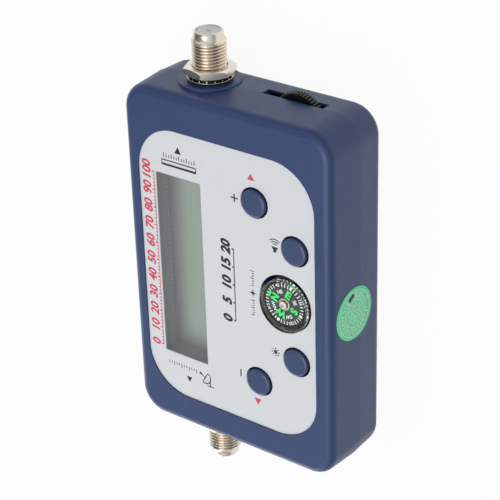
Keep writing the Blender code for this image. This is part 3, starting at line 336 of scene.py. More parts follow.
def loft(sections, ring=False):
    """Solid through stacked outlines with equal point counts."""
    shape = bmesh.new()
    rows = [[shape.verts.new((x, y, height)) for x, y in outline] for outline, height in sections]
    pairs = list(zip(rows, rows[1:]))
    if ring:
        pairs.append((rows[-1], rows[0]))
    for lower, upper in pairs:
        for index, corner in enumerate(lower):
            following = (index + 1) % len(lower)
            shape.faces.new((corner, lower[following], upper[following], upper[index]))
    if not ring:
        shape.faces.new(reversed(rows[0]))
        shape.faces.new(rows[-1])
    return shape


def plate(outline, bottom, top):
    """Flat solid between two heights."""
    return loft([(outline, bottom), (outline, top)])


def turned(profile, centre=(0, 0), steps=64, ring=False):
    """Solid turned about a line along Z, from (radius, height) pairs."""
    return loft([(circle(radius, centre, steps), height) for radius, height in profile], ring)


def rod(radius, bottom, top, centre=(0, 0), steps=64):
    """Round rod along Z."""
    return turned(((radius, bottom), (radius, top)), centre, steps)


def block(low, high):
    """Box between two corners."""
    centre = ((low[0] + high[0]) / 2, (low[1] + high[1]) / 2)
    return plate(rectangle(high[0] - low[0], high[1] - low[1], centre), low[2], high[2])


def moved(shape, matrix):
    """The shape after a transform."""
    bmesh.ops.transform(shape, matrix=matrix, verts=shape.verts)
    return shape


def end_matrix(side):
    """Place of a connector: origin on the end face, own Z pointing outwards."""
    place = Matrix.Translation((side * HALF_LENGTH, CONNECTOR_OFFSET, PARTING_HEIGHT))
    return place @ Matrix.Rotation(side * QUARTER, 4, "Y")


def case_outline(inset):
    """Plan outline of the case, moved in all round."""
    corner = max(CORNER_RADIUS - inset, LEAST_CORNER)
    return rounded_rectangle(CASE_LENGTH - 2 * inset, CASE_WIDTH - 2 * inset, corner, steps=16)


def as_mesh(name, shape):
    """Mesh of a shape, which is freed."""
    mesh = bpy.data.meshes.new(name)
    shape.to_mesh(mesh)
    shape.free()
    return mesh


def joined(shapes):
    """One shape from several."""
    result = bmesh.new()
    for shape in shapes:
        mesh = as_mesh("part", shape)
        result.from_mesh(mesh)
        bpy.data.meshes.remove(mesh)
    return result


def added(name, data):
    """New object in the scene."""
    made = bpy.data.objects.new(name, data)
    bpy.context.scene.collection.objects.link(made)
    return made


def raw_object(name, shape):
    """Object of a shape, scaled to metres."""
    return added(name, as_mesh(name, moved(shape, Matrix.Scale(MM, 4))))


def evaluated_mesh(name, holder):
    """Mesh of an object with its modifiers applied."""
    bpy.context.view_layer.update()
    evaluated = holder.evaluated_get(bpy.context.evaluated_depsgraph_get())
    mesh = bpy.data.meshes.new_from_object(evaluated)
    mesh.name = name
    return mesh


def piece(name, shape, slot, replaced=None, operations=(), look=None, body="case", bevel=0.0,
          bevel_angle=BEVEL_ANGLE, weighted=True):
    """Finished piece: booleans and bevels are applied, and it rides on its body."""
    base = raw_object(name + "_raw", shape)
    helpers = []
    for operation, shapes in operations:
        helper = raw_object(name + "_helper", joined(shapes))
        helpers.append(helper)
        modifier = base.modifiers.new(operation, "BOOLEAN")
        modifier.operation = operation
        modifier.solver = "EXACT"
        modifier.object = helper
    if bevel:
        modifier = base.modifiers.new("bevel", "BEVEL")
        modifier.width = bevel * MM
        modifier.segments = 3
        modifier.limit_method = "ANGLE"
        modifier.angle_limit = bevel_angle
        modifier.miter_outer = "MITER_ARC"
    mesh = evaluated_mesh(name, base)
    for helper in helpers + [base]:
        bpy.data.objects.remove(helper)
    mesh.shade_smooth()
    mesh.set_sharp_from_angle(angle=SHARP_ANGLE)
    mesh.materials.clear()
    mesh.materials.append(LOOKS[look or slot])
    made = added(name, mesh)
    if weighted:
        modifier = made.modifiers.new("normals", "WEIGHTED_NORMAL")
        modifier.keep_sharp = True
    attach(made, body)
    if replaced:
        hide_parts(replaced)


# Materials

class Nodes:
    """Short way to build the nodes of a material or of the world."""

    def __init__(self, owner):
        owner.use_nodes = True
        self.owner = owner
        self.tree = owner.node_tree
        self.shader = self.tree.nodes.get("Principled BSDF")

    def add(self, kind, inputs=None, **settings):
        node = self.tree.nodes.new(kind)
        for key, value in settings.items():
            setattr(node, key, value)
        for key, value in (inputs or {}).items():
            node.inputs[key].default_value = value
        return node

    def link(self, source, target):
        self.tree.links.new(source, target)

    def set(self, **values):
        """Plain values on the shader's own sockets, with _ for each space in a name."""
        for key, value in values.items():
            self.shader.inputs[key.replace("_", " ")].default_value = value

    def place(self):
        return self.add("ShaderNodeTexCoord").outputs["Object"]

    def split(self, vector):
        node = self.add("ShaderNodeSeparateXYZ")
        self.link(vector, node.inputs[0])
        return node.outputs

    def number(self, operation, *values):
        """Result of a sum, in which each value is a socket or a number."""
        node = self.add("ShaderNodeMath", operation=operation)
        for socket, value in zip(node.inputs, values):
            if isinstance(value, float):
                socket.default_value = value
            else:
                self.link(value, socket)
        return node.outputs[0]

    def noise(self, scale, detail=2.0, roughness=0.5):
        node = self.add("ShaderNodeTexNoise", {"Scale": scale, "Detail": detail, "Roughness": roughness})
        self.link(self.place(), node.inputs["Vector"])
        return node.outputs["Fac"]

    def spread(self, value, low, high, source=(0.3, 0.7), kind="LINEAR"):
        ends = {"From Min": source[0], "From Max": source[1], "To Min": low, "To Max": high}
        node = self.add("ShaderNodeMapRange", ends, interpolation_type=kind)
        self.link(value, node.inputs["Value"])
        return node.outputs["Result"]

    def tint(self, factor, first, second):
        """Base colour that goes from one colour to another."""
        node = self.add("ShaderNodeMix", data_type="RGBA")
        node.inputs["A"].default_value = (*first, 1)
        node.inputs["B"].default_value = (*second, 1)
        self.link(factor, node.inputs["Factor"])
        self.link(node.outputs["Result"], self.shader.inputs["Base Color"])

    def bump(self, height, strength, distance):
        node = self.add("ShaderNodeBump", {"Strength": strength, "Distance": distance})
        self.link(height, node.inputs["Height"])
        self.link(node.outputs["Normal"], self.shader.inputs["Normal"])

    def uneven_gloss(self, scale, detail, roughness, vary):
        gloss = self.noise(scale, detail)
        self.link(self.spread(gloss, roughness - vary, roughness + vary), self.shader.inputs["Roughness"])

    def blend(self, factor, first, second):
        """Mix of two shaders."""
        node = self.add("ShaderNodeMixShader")
        for source, socket in zip((factor, first, second), node.inputs):
            self.link(source, socket)
        return node.outputs[0]

    def clear(self):
        return self.add("ShaderNodeBsdfTransparent").outputs[0]

    def finish(self, source):
        self.link(source, self.tree.nodes["Material Output"].inputs["Surface"])


def new_material(name):
    """Nodes of a new material."""
    return Nodes(bpy.data.materials.new(name))


def surface(name, colour, roughness, metallic=0.0, vary=0.06, rough_vary=0.05, cloud=90, grain=2500,
            grain_depth=0.00001, specular=0.5):
    """Solid surface with slight colour clouds, uneven gloss and fine grain."""
    nodes = new_material(name)
    clouds = nodes.noise(cloud, 4.0)
    darker = tuple(c * (1 - vary) for c in colour)
    lighter = tuple(min(1, c * (1 + vary)) for c in colour)
    nodes.tint(nodes.spread(clouds, 0, 1), darker, lighter)
    nodes.uneven_gloss(cloud * 5, 3.0, roughness, rough_vary)
    nodes.set(Metallic=metallic, Specular_IOR_Level=specular)
    if grain:
        nodes.bump(nodes.noise(grain, 1.0), 0.5, grain_depth)
    return nodes.owner


def clear_surface(name, colour, ior):
    """Clear moulding that lets shadow rays through, so that what it covers is lit."""
    nodes = new_material(name)
    nodes.set(Base_Color=(*colour, 1), Roughness=0.02, Transmission_Weight=1.0, IOR=ior)
    shadow = nodes.add("ShaderNodeLightPath").outputs["Is Shadow Ray"]
    nodes.finish(nodes.blend(shadow, nodes.shader.outputs[0], nodes.clear()))
    return nodes.owner


def film_surface(name, colour, alpha):
    """Thin clear sheet."""
    nodes = new_material(name)
    nodes.set(Base_Color=(*colour, 1), Roughness=0.06, Alpha=alpha)
    return nodes.owner


def radial_surface(name, axis, centre, radii, root, crest, roughness, metallic, bright_beyond=None,
                   specular=0.5):
    """Surface that goes from one colour to another with the distance from a piece's own axis, as painted
    shade that is darker towards the axis.
    """
    nodes = new_material(name)
    parts = nodes.split(nodes.place())
    across = nodes.add("ShaderNodeCombineXYZ")
    for source, target in zip(("Y", "Z") if axis == "X" else ("X", "Y"), ("X", "Y")):
        nodes.link(parts[source], across.inputs[target])
    middle = (centre[0] * MM, centre[1] * MM, 0)
    distance = nodes.add("ShaderNodeVectorMath", {1: middle}, operation="DISTANCE")
    nodes.link(across.outputs[0], distance.inputs[0])
    factor = nodes.spread(distance.outputs["Value"], 0, 1, (radii[0] * MM, radii[1] * MM))
    if bright_beyond:
        beyond = nodes.number("GREATER_THAN", nodes.number("ABSOLUTE", parts["X"]), bright_beyond * MM)
        factor = nodes.number("MAXIMUM", factor, beyond)
    nodes.tint(factor, root, crest)
    nodes.uneven_gloss(1500, 3.0, roughness, 0.05)
    nodes.set(Metallic=metallic, Specular_IOR_Level=specular)
    return nodes.owner


def ramp_surface(name, across, along, first, second, roughness):
    """Surface that goes from one colour to another between two places across and two along the object, as
    painted shade.
    """
    nodes = new_material(name)
    parts = nodes.split(nodes.place())
    wander = nodes.spread(nodes.noise(60, 2.0), -0.0004, 0.0004)
    shares = []
    for axis, (start, end) in (("Y", across), ("X", along)):
        place = nodes.number("ADD", parts[axis], wander)
        shares.append(nodes.spread(place, 0, 1, (start * MM, end * MM), "SMOOTHSTEP"))
    nodes.tint(nodes.number("MULTIPLY", *shares), first, second)
    nodes.uneven_gloss(400, 2.0, roughness, 0.02)
    return nodes.owner


def make_looks():
    """All finishes, by short name."""
    connector_axis = (CONNECTOR_OFFSET, PARTING_HEIGHT)
    # Painted shadow on the display glass: dark grey along its +Y and -X edges, where the window's walls shade
    # it, fading to green.
    lcd_shadow_across = (WINDOW_CENTRE[1] + 7.6, WINDOW_CENTRE[1] + 0.6)
    lcd_shadow_along = (WINDOW_CENTRE[0] - 29.0, WINDOW_CENTRE[0] - 21.5)
    thread_shade_radii = (THREAD_RADIUS - THREAD_DEPTH, THREAD_RADIUS - 0.08)
    tooth_shade_radii = (WHEEL_RADIUS - 0.40, WHEEL_RADIUS - 0.04)
    return {
        "blue_plastic": surface("satin_blue_plastic", (0.0165, 0.0445, 0.154), 0.40, specular=0.6,
                                vary=0.05, rough_vary=0.03, grain=3000, grain_depth=0.000012),
        "blue_cap": surface("smooth_blue_plastic", (0.047, 0.074, 0.172), 0.24, vary=0.03, rough_vary=0.02,
                            grain=0),
        "printed_panel": surface("printed_film", (0.688, 0.719, 0.745), 0.42, vary=0.012, grain=2200,
                                 grain_depth=0.000006),
        "red": surface("red_ink", (0.70, 0.036, 0.090), 0.45, vary=0.05, grain=0),
        "ink": surface("black_ink", (0.012, 0.012, 0.014), 0.45, vary=0.05, grain=0),
        # Display glass with painted shadow: dark grey by the window's walls, green elsewhere.
        "display_glass": ramp_surface("display_glass_painted_shadow", lcd_shadow_across, lcd_shadow_along, (0.232, 0.242, 0.242),
                                      (0.308, 0.386, 0.320), 0.25),
        "lcd_frame": surface("display_border", (0.20, 0.205, 0.215), 0.40, vary=0.01, rough_vary=0.01,
                             grain=0),
        "lcd_mark": surface("display_marks", (0.40, 0.42, 0.41), 0.40, vary=0.15, cloud=700, grain=0),
        "mask": surface("grey_tube", (0.270, 0.274, 0.292), 0.50, vary=0.02, grain=0),
        "holder": surface("grey_holder", (0.20, 0.20, 0.21), 0.50),
        "clear_plastic": film_surface("clear_window", (0.90, 0.93, 0.93), 0.06),
        "capsule": clear_surface("clear_capsule", (0.93, 0.96, 0.95), 1.46),
        "cup": surface("capsule_cup", (0.052, 0.050, 0.043), 0.45, vary=0.02, grain=0),
        "card": surface("compass_card_black", (0.012, 0.013, 0.014), 0.45, grain=0),
        "luminous": surface("luminous_green_ink", (0.006, 0.82, 0.125), 0.45, vary=0.04, grain=0),
        "white_ink": surface("white_ink", (0.86, 0.87, 0.87), 0.45, vary=0.03, grain=0),
        "brass": surface("pale_brass", (0.45, 0.41, 0.35), 0.42, metallic=1.0, vary=0.18, cloud=900,
                         grain=900),
        "wheel_plastic": surface("dark_wheel_plastic", (0.030, 0.031, 0.022), 0.40, vary=0.10, grain=1800),
        "nickel_plate": surface("warm_nickel", (0.86, 0.79, 0.68), 0.33, metallic=1.0, vary=0.05,
                                cloud=300, grain=0),
        # Thread: painted shade, darker brown towards the roots of the grooves and in the bore, bright beyond
        # the thread's end.
        "thread": radial_surface("nickel_thread_painted_shade", "X", connector_axis, thread_shade_radii, (0.50, 0.36, 0.22),
                                 (0.78, 0.71, 0.62), 0.22, 1.0, HALF_LENGTH + THREAD_END - 0.1),
        # Washer: painted shade, near black nearer the axis than about 5.9 mm, so the hub and inner posts look
        # shaded under the nut.
        "washer": radial_surface("nickel_washer_painted_shade", "X", connector_axis, (5.9, 6.2), (0.035, 0.026, 0.020),
                                 (0.70, 0.62, 0.54), 0.28, 1.0),
        # Wheel: painted shade, near black on the flat side and in the tooth roots, lighter only on the outer
        # part of the teeth.
        "knurl": radial_surface("knurled_plastic_painted_shade", "Z", WHEEL_CENTRE, tooth_shade_radii, (0.003, 0.003, 0.0025),
                                (0.120, 0.115, 0.085), 0.50, 0.0, specular=0.2),
        "insulator": surface("milky_insulator", (0.84, 0.88, 0.91), 0.35, vary=0.03),
        "screw_steel": surface("zinc_steel", (0.55, 0.55, 0.54), 0.30, metallic=1.0, grain=1200),
        "seal_paper": surface("green_paper", (0.15, 0.93, 0.44), 0.45, vary=0.04, cloud=400),
        "seal_line": surface("pale_green_ink", (0.92, 0.97, 0.93), 0.45, vary=0.05, grain=0),
        "black_plastic": surface("black_plastic_inside", (0.02, 0.021, 0.022), 0.45),
        "white_plastic": surface("white_plastic_inside", (0.78, 0.80, 0.80), 0.45),
        "circuit_board": surface("green_board", (0.02, 0.15, 0.06), 0.40, vary=0.15),
        "tinplate": surface("tin_plate", (0.62, 0.62, 0.60), 0.32, metallic=1.0),
        "contact_rubber": surface("silicone_rubber", (0.25, 0.12, 0.12), 0.70),
        "diffuser": surface("milky_diffuser", (0.80, 0.86, 0.78), 0.50),
    }


# Case

def connector_bores():
    """Bores through both end walls."""
    return [moved(rod(CONNECTOR_BORE, -4.0, PAD_HEIGHT + OVERRUN), end_matrix(side)) for side in (1, -1)]


def pads(low, high):
    """Halves of the raised round pads on one side of the joint."""
    profile = [(PAD_RADIUS, -1.0), (PAD_RADIUS, 0.0)] + rounded_edge(PAD_RADIUS, PAD_HEIGHT, PAD_EDGE)
    halves = []
    for side in (1, -1):
        pad = moved(turned(profile, steps=FINE), end_matrix(side))
        for limit, normal in ((low, (0, 0, -1)), (high, (0, 0, 1))):
            cut = bmesh.ops.bisect_plane(pad, geom=pad.verts[:] + pad.edges[:] + pad.faces[:],
                                         plane_co=(0, 0, limit), plane_no=normal, clear_outer=True)
            rim = [edge for edge in cut["geom_cut"] if isinstance(edge, bmesh.types.BMEdge)]
            if rim:
                bmesh.ops.edgeloop_fill(pad, edges=rim)
        bmesh.ops.recalc_face_normals(pad, faces=pad.faces)
        halves.append(pad)
    return halves


def round_openings(low, high):
    """Cutters for the compass and the buttons."""
    holes = [rod(COMPASS_HOLE_RADIUS, low, high, COMPASS_CENTRE, FINE)]
    return holes + [rod(BUTTON_HOLE_RADIUS, low, high, place) for place in BUTTON_PLACES.values()]


def window_outline(margin, corner):
    """Outline of the window with a margin all round."""
    return rounded_rectangle(WINDOW_LENGTH + 2 * margin, WINDOW_WIDTH + 2 * margin, corner, WINDOW_CENTRE,
                             WINDOW_STEPS)


def front_case():
    """Front shell with its recess, window, holes and rounded edges."""
    rim = PARTING_HEIGHT + JOINT_GAP
    sections = [(case_outline(JOINT_EDGE), rim), (case_outline(0), rim + JOINT_EDGE)]
    edge = rounded_edge(-FRONT_DRAFT, CASE_DEPTH, FRONT_EDGE_RADIUS, EDGE_STEPS)
    sections += [(case_outline(-side), height) for side, height in edge]
    rebate = case_outline(SIDE_WALL - LIP_THICKNESS - LIP_CLEARANCE)
    rebate_top = rim + LIP_HEIGHT + GAP
    cavity = loft([
        (rebate, rim - OVERRUN), (rebate, rebate_top), (case_outline(SIDE_WALL), rebate_top),
        (case_outline(SIDE_WALL + FRONT_DRAFT + INNER_CHAMFER), FACE_INSIDE),
    ])
    recess = rounded_rectangle(PANEL_LENGTH + 2 * PANEL_CLEARANCE, PANEL_WIDTH + 2 * PANEL_CLEARANCE,
                               PANEL_CORNER + PANEL_CLEARANCE, PANEL_CENTRE, PANEL_STEPS)
    below, above = FACE_INSIDE - OVERRUN, CASE_DEPTH + OVERRUN
    window = window_outline(WINDOW_CLEARANCE, WINDOW_CORNER + WINDOW_CLEARANCE)
    seat = window_outline(LEDGE_WIDTH, LEDGE_WIDTH)
    openings = [loft([(window, below), (window, LEDGE_HEIGHT), (seat, LEDGE_HEIGHT), (seat, above)])]
    openings += round_openings(below, above)
    bottom, floor = WELL_LEVELS
    well = [(WELL_RADIUS, bottom), (WELL_RADIUS, FACE_INSIDE), (COMPASS_HOLE_RADIUS, FACE_INSIDE),
            (COMPASS_HOLE_RADIUS, floor), (WELL_THROAT, floor), (WELL_THROAT, bottom)]
    piece("front_case", loft(sections), "blue_plastic", "front_shell", (
        ("DIFFERENCE", [cavity]),
        ("UNION", pads(rim, CASE_DEPTH)),
        ("DIFFERENCE", [plate(recess, RECESS_FLOOR, above)]),
        ("DIFFERENCE", openings + connector_bores()),
    ), bevel=CASE_BEVEL)
    piece("compass_well", turned(well, COMPASS_CENTRE, FINE, ring=True), "blue_plastic")


def rear_case():
    """Rear shell with its joint lip, counterbores and the slot for the wheel."""
    rim = PARTING_HEIGHT - JOINT_GAP
    lip_top = rim + LIP_HEIGHT
    foot = REAR_STEP + REAR_DRAFT
    sections = []
    for step in range(EDGE_STEPS + 1):
        angle = QUARTER * step / EDGE_STEPS
        inset = foot + REAR_EDGE_RADIUS * (1 - sin(angle))
        sections.append((case_outline(inset), REAR_EDGE_RADIUS * (1 - cos(angle))))
    lip = case_outline(SIDE_WALL - LIP_THICKNESS)
    sections += [(case_outline(REAR_STEP), rim - JOINT_EDGE), (case_outline(REAR_STEP + JOINT_EDGE), rim),
                 (lip, rim), (lip, lip_top)]
    inner = foot + SIDE_WALL
    cavity = loft([
        (case_outline(inner + INNER_CHAMFER), BACK_WALL), (case_outline(inner), BACK_WALL + INNER_CHAMFER),
        (case_outline(SIDE_WALL), rim), (case_outline(SIDE_WALL), lip_top + OVERRUN),
    ])
    tubes = [rod(*SCREW_TUBE, rim - 0.2, place, 32) for place in SCREW_PLACES]
    screws = [turned(SCREW_HOLE, place, 48) for place in SCREW_PLACES]
    low = (HALF_LENGTH - SIDE_WALL - OVERRUN, SLOT_OFFSET - SLOT_LENGTH / 2, SLOT_BOTTOM)
    high = (HALF_LENGTH + OVERRUN, SLOT_OFFSET + SLOT_LENGTH / 2, lip_top + OVERRUN)
    pit = block((low[0], low[1] + GAP, PIT_BOTTOM),
                (HALF_LENGTH - PIT_WALL, high[1] - GAP, SLOT_BOTTOM + PIT_OVERLAP))
    relief = rod(WHEEL_RADIUS + GAP, SLOT_BOTTOM - 0.02, high[2] + 0.5, WHEEL_CENTRE, FINE)
    piece("rear_case", loft(sections), "blue_plastic", "rear_shell", (
        ("DIFFERENCE", [cavity]),
        ("UNION", tubes),
        ("UNION", pads(0, rim)),
        ("DIFFERENCE", screws + connector_bores()),
        ("DIFFERENCE", [block(low, high)]),
        ("DIFFERENCE", [relief]),
        ("DIFFERENCE", [pit]),
    ), bevel=CASE_BEVEL)


def case_screw_heads():
    """Pan-head screws with a cross recess, sunk in the back."""
    low, high = CROSS_LEVELS
    for number, (x, y) in enumerate(SCREW_PLACES, 1):
        arms = [("DIFFERENCE", [block((x - reach, y - width, low), (x + reach, y + width, high))])
                for reach, width in (CROSS_ARM, CROSS_ARM[::-1])]
        piece(f"case_screw_{number}_head", turned(SCREW_PROFILE, (x, y), 40), "screw_steel",
              f"case_screw_{number}", arms, bevel=0.04)


def face():
    """Printed panel with its window and holes."""
    outline = rounded_rectangle(PANEL_LENGTH, PANEL_WIDTH, PANEL_CORNER, PANEL_CENTRE, PANEL_STEPS)
    low, high = PANEL_BOTTOM - OVERRUN, PANEL_TOP + OVERRUN
    cuts = [plate(window_outline(0, WINDOW_CORNER), low, high)] + round_openings(low, high)
    piece("face_panel", plate(outline, PANEL_BOTTOM, PANEL_TOP), "printed_panel", "front_overlay",
          (("DIFFERENCE", cuts),), weighted=False)


# Printing

def prism(points, low, high, mapping=None):
    """Thin solid over a simple outline, laid on a surface by a mapping."""
    points = list(points)
    area = sum(a[0] * b[1] - b[0] * a[1] for a, b in zip(points, points[1:] + points[:1]))
    if area < 0:
        points = points[::-1]
    shape = plate(points, low, high)
    if mapping:
        for vert in shape.verts:
            vert.co = mapping(*vert.co)
    return shape


def stroke(start, end, width):
    """Outline of a straight line with a width."""
    direction = Vector((end[0] - start[0], end[1] - start[1])).normalized()
    side = Vector((-direction.y, direction.x)) * width / 2
    return [(start[0] + side.x, start[1] + side.y), (start[0] - side.x, start[1] - side.y),
            (end[0] - side.x, end[1] - side.y), (end[0] + side.x, end[1] + side.y)]


def arc_band(centre, radius, width, start, end, steps=24):
    """Outline of part of a ring."""
    angles = [start + (end - start) * step / steps for step in range(steps + 1)]
    outer = [polar(radius + width / 2, a, centre) for a in angles]
    inner = [polar(radius - width / 2, a, centre) for a in angles]
    return outer + inner[::-1]


def shifted(points, place):
    """Points moved in plan."""
    return [(place[0] + x, place[1] + y) for x, y in points]


def letters(text, size, low, high, bold=0.0, slant=0.0):
    """Text as a thin solid, centred on the origin, reading along +X with its top towards +Y."""
    curve = bpy.data.curves.new("letters", "FONT")
    curve.body = text
    curve.size = size
    curve.offset = bold
    curve.shear = slant
    curve.align_x = "CENTER"
    curve.resolution_u = 4
    curve.extrude = (high - low) / 2
    holder = added("letters", curve)
    mesh = evaluated_mesh("letters", holder)
    shape = bmesh.new()
    shape.from_mesh(mesh)
    bpy.data.objects.remove(holder)
    bpy.data.meshes.remove(mesh)
    bmesh.ops.remove_doubles(shape, verts=shape.verts, dist=0.0001)
    top = max(vert.co.y for vert in shape.verts)
    bottom = min(vert.co.y for vert in shape.verts)
    return moved(shape, Matrix.Translation((0, -(top + bottom) / 2, (low + high) / 2)))


class Ink:
    """Print of one colour between two levels, drawn as thin solids."""

    def __init__(self, low, high, mapping=None):
        self.low, self.high, self.mapping = low, high, mapping
        self.shapes = []

    def area(self, points, lift=0.0):
        self.shapes.append(prism(points, self.low, self.high + lift, self.mapping))

    def line(self, start, end, width, lift=0.0):
        self.area(stroke(start, end, width), lift)

    def text(self, words, size, bold, place, slant=0.0, turn=0.0, lift=0.0):
        shape = letters(words, size, self.low, self.high + lift, bold, slant)
        matrix = Matrix.Translation((*place, 0)) @ Matrix.Rotation(turn, 4, "Z")
        self.shapes.append(moved(shape, matrix))

    def ticks(self, count, start, step, foot, short, tall, width):
        """Row of graduations along Y, each third one tall."""
        for index in range(count):
            y = start + step * index
            self.line((foot, y), (short if index % 3 else tall, y), width)

    def dry(self, name, look, slot, body="case"):
        piece(name, joined(self.shapes), slot, look=look, body=body, weighted=False)


def red_print(ink):
    """Scale with its numbers beside the display, and an arrow by each end button."""
    first, last = RED_ENDS
    base, foot, short, tall, middle = RED_LEVELS
    for index in range(11):
        x = first + (last - first) * index / 10
        ink.text(str(index * 10), 3.9, 0.13, (x, middle), 0.18)
        ink.line((x, foot), (x, tall), 0.42)
        if index < 10:
            for part in range(1, 5):
                tick = x + (last - first) / 10 * part / 5
                ink.line((tick, foot), (tick, short), 0.28)
    ink.line((first - 0.2, base), (last + 0.2, base), 0.22)
    for arrow in RED_ARROWS:
        ink.area(arrow)


def middle_scale(ink):
    """Numbers over a line in the middle of the panel."""
    base, step, reach = -2.0, 5.6, 11.4
    for index, text in enumerate(("0", "5", "10", "15", "20")):
        x = step * (index - 2)
        ink.text(text, 4.1, 0.20, (x, 0.75), 0.2)
        ink.line((x, base), (x, -1.35), 0.4)
    ink.line((-reach, base), (reach, base), 0.3)


def receiver_signs(ink):
    """Arrow, bar and graduations at the receiver's end."""
    ink.area(RECEIVER_ARROW)
    for start, end, width in RECEIVER_LINES:
        ink.line(start, end, width)
    ink.ticks(13, 10.3, 0.88, 32.9, 33.7, 34.2, 0.26)


def dish_signs(ink):
    """Arrow, graduations and a plain dish at the dish's end."""
    ink.area(DISH_ARROW)
    ink.ticks(12, 13.0, 0.9, -32.3, -33.1, -33.6, 0.22)
    ink.area(arc_band(DISH_PLACE, 1.9, 0.34, radians(150), radians(330)))
    for start, end, width in DISH_LINES:
        ink.line(*shifted((start, end), DISH_PLACE), width)
    ink.area(shifted(circle(0.42, DISH_HORN, 20), DISH_PLACE))


def button_signs(ink):
    """Plus, minus, a speaker and a lamp beside the buttons."""
    for x, y in (PLUS_PLACE, MINUS_PLACE):
        ink.line((x - SIGN_REACH, y), (x + SIGN_REACH, y), SIGN_WIDTH)
    x, y = PLUS_PLACE
    for side in (-1, 1):
        ink.line((x, y + side * SIGN_WIDTH / 2), (x, y + side * SIGN_REACH), SIGN_WIDTH)
    ink.area(shifted(SPEAKER, SPEAKER_PLACE))
    for radius in (0.9, 1.6, 2.3):
        ink.area(arc_band(SPEAKER_PLACE, radius, 0.28, -0.75, 0.75, 12))
    ink.area(circle(0.6, LAMP_PLACE, 28))
    for index in range(8):
        angle = TURN / 8 * index
        ink.line(polar(0.85, angle, LAMP_PLACE), polar(1.4, angle, LAMP_PLACE), 0.26)


def compass_signs(ink):
    """Star with graduations on both sides, by the compass."""
    for index in range(4):
        angle = QUARTER * index
        corners = ((1.3, 0), (0.36, 0.8), (0.02, 0), (0.36, -0.8))
        ink.area([polar(radius, angle + turn, STAR_PLACE) for radius, turn in corners])
    x, y = STAR_PLACE
    for side in (1, -1):
        for index in range(7):
            tick = x + side * (2.3 + 0.75 * index)
            ink.line((tick, y - 0.45), (tick, y + (0.2 if index % 3 else 0.75)), 0.24)


def panel_printing():
    """Scales, arrows and plain symbols in place of the words."""
    red, black = [Ink(PANEL_TOP - INK_SINK, PANEL_TOP + INK_RISE) for _ in range(2)]
    red_print(red)
    for draw in (middle_scale, receiver_signs, dish_signs, button_signs, compass_signs):
        draw(black)
    red.dry("panel_red_print", "red", "printed_panel")
    black.dry("panel_black_print", "ink", "printed_panel")


# Display

def display():
    """Lens, glass with its border and marks, and the holder round it."""
    def centred(size):
        return rectangle(*size, WINDOW_CENTRE)

    def inside(margin):
        return centred((WINDOW_LENGTH - 2 * margin, WINDOW_WIDTH - 2 * margin))

    piece("display_lens", plate(inside(LENS_CLEARANCE), *LENS_LEVELS), "clear_plastic", "lcd_window",
          weighted=False)
    outer, inner = inside(MASK_CLEARANCE), inside(MASK_CLEARANCE + MASK_WALL)
    low, high = MASK_LEVELS
    mask = [(outer, low), (outer, high), (inner, high), (inner, low)]
    piece("display_mask", loft(mask, ring=True), "white_plastic", look="mask", weighted=False)
    piece("display_cell", plate(centred(CELL_SIZE), *CELL_LEVELS), "display_glass", "lcd_glass",
          look="lcd_frame", bevel=0.08)
    x, y = WINDOW_CENTRE
    active = rounded_rectangle(*AREA_SIZE, WINDOW_CORNER, (x, y + AREA_SHIFT), WINDOW_STEPS)
    piece("display_area", plate(active, *AREA_LEVELS), "display_glass", weighted=False)
    marks = []
    for index in range(MARK_COUNT):
        start = x + MARK_START + MARK_PITCH * index
        marks.append(block((start, y + MARK_WALL[0], MARK_LEVELS[0]),
                           (start + MARK_WIDTH, y + MARK_WALL[1], MARK_LEVELS[1])))
    piece("display_marks", joined(marks), "display_glass", look="lcd_mark", weighted=False)
    outside, pocket, throat = (centred(size) for size in (HOLDER_SIZE, HOLDER_POCKET, HOLDER_THROAT))
    low, ledge, high = HOLDER_LEVELS
    holder = [(outside, low), (outside, high), (pocket, high), (pocket, ledge), (throat, ledge),
              (throat, low)]
    piece("display_holder", loft(holder, ring=True), "white_plastic", "lcd_holder", look="holder",
          bevel=0.1)


# Buttons

def buttons():
    """Caps with rounded edges on their flanges."""
    low, high = BUTTON_FLANGE_LEVELS
    profile = [BUTTON_STEM, (BUTTON_STEM[0], low), (BUTTON_FLANGE_RADIUS, low), (BUTTON_FLANGE_RADIUS, high),
               (BUTTON_RADIUS, high)]
    shoulder = BUTTON_TOP - BUTTON_CROWN
    profile += rounded_edge(BUTTON_RADIUS, shoulder - BUTTON_CHAMFER[1], BUTTON_EDGE, sweep=BUTTON_EDGE_SWEEP)
    reach = BUTTON_RADIUS - BUTTON_EDGE - BUTTON_CHAMFER[0]
    profile.append((reach, shoulder))
    profile += [(reach * share, BUTTON_TOP - BUTTON_CROWN * share ** 2) for share in CROWN_SHARES]
    for name, place in BUTTON_PLACES.items():
        piece(f"{name}_cap", turned(profile, place), "blue_plastic", f"{name}_button", look="blue_cap",
              body=name)


# Compass

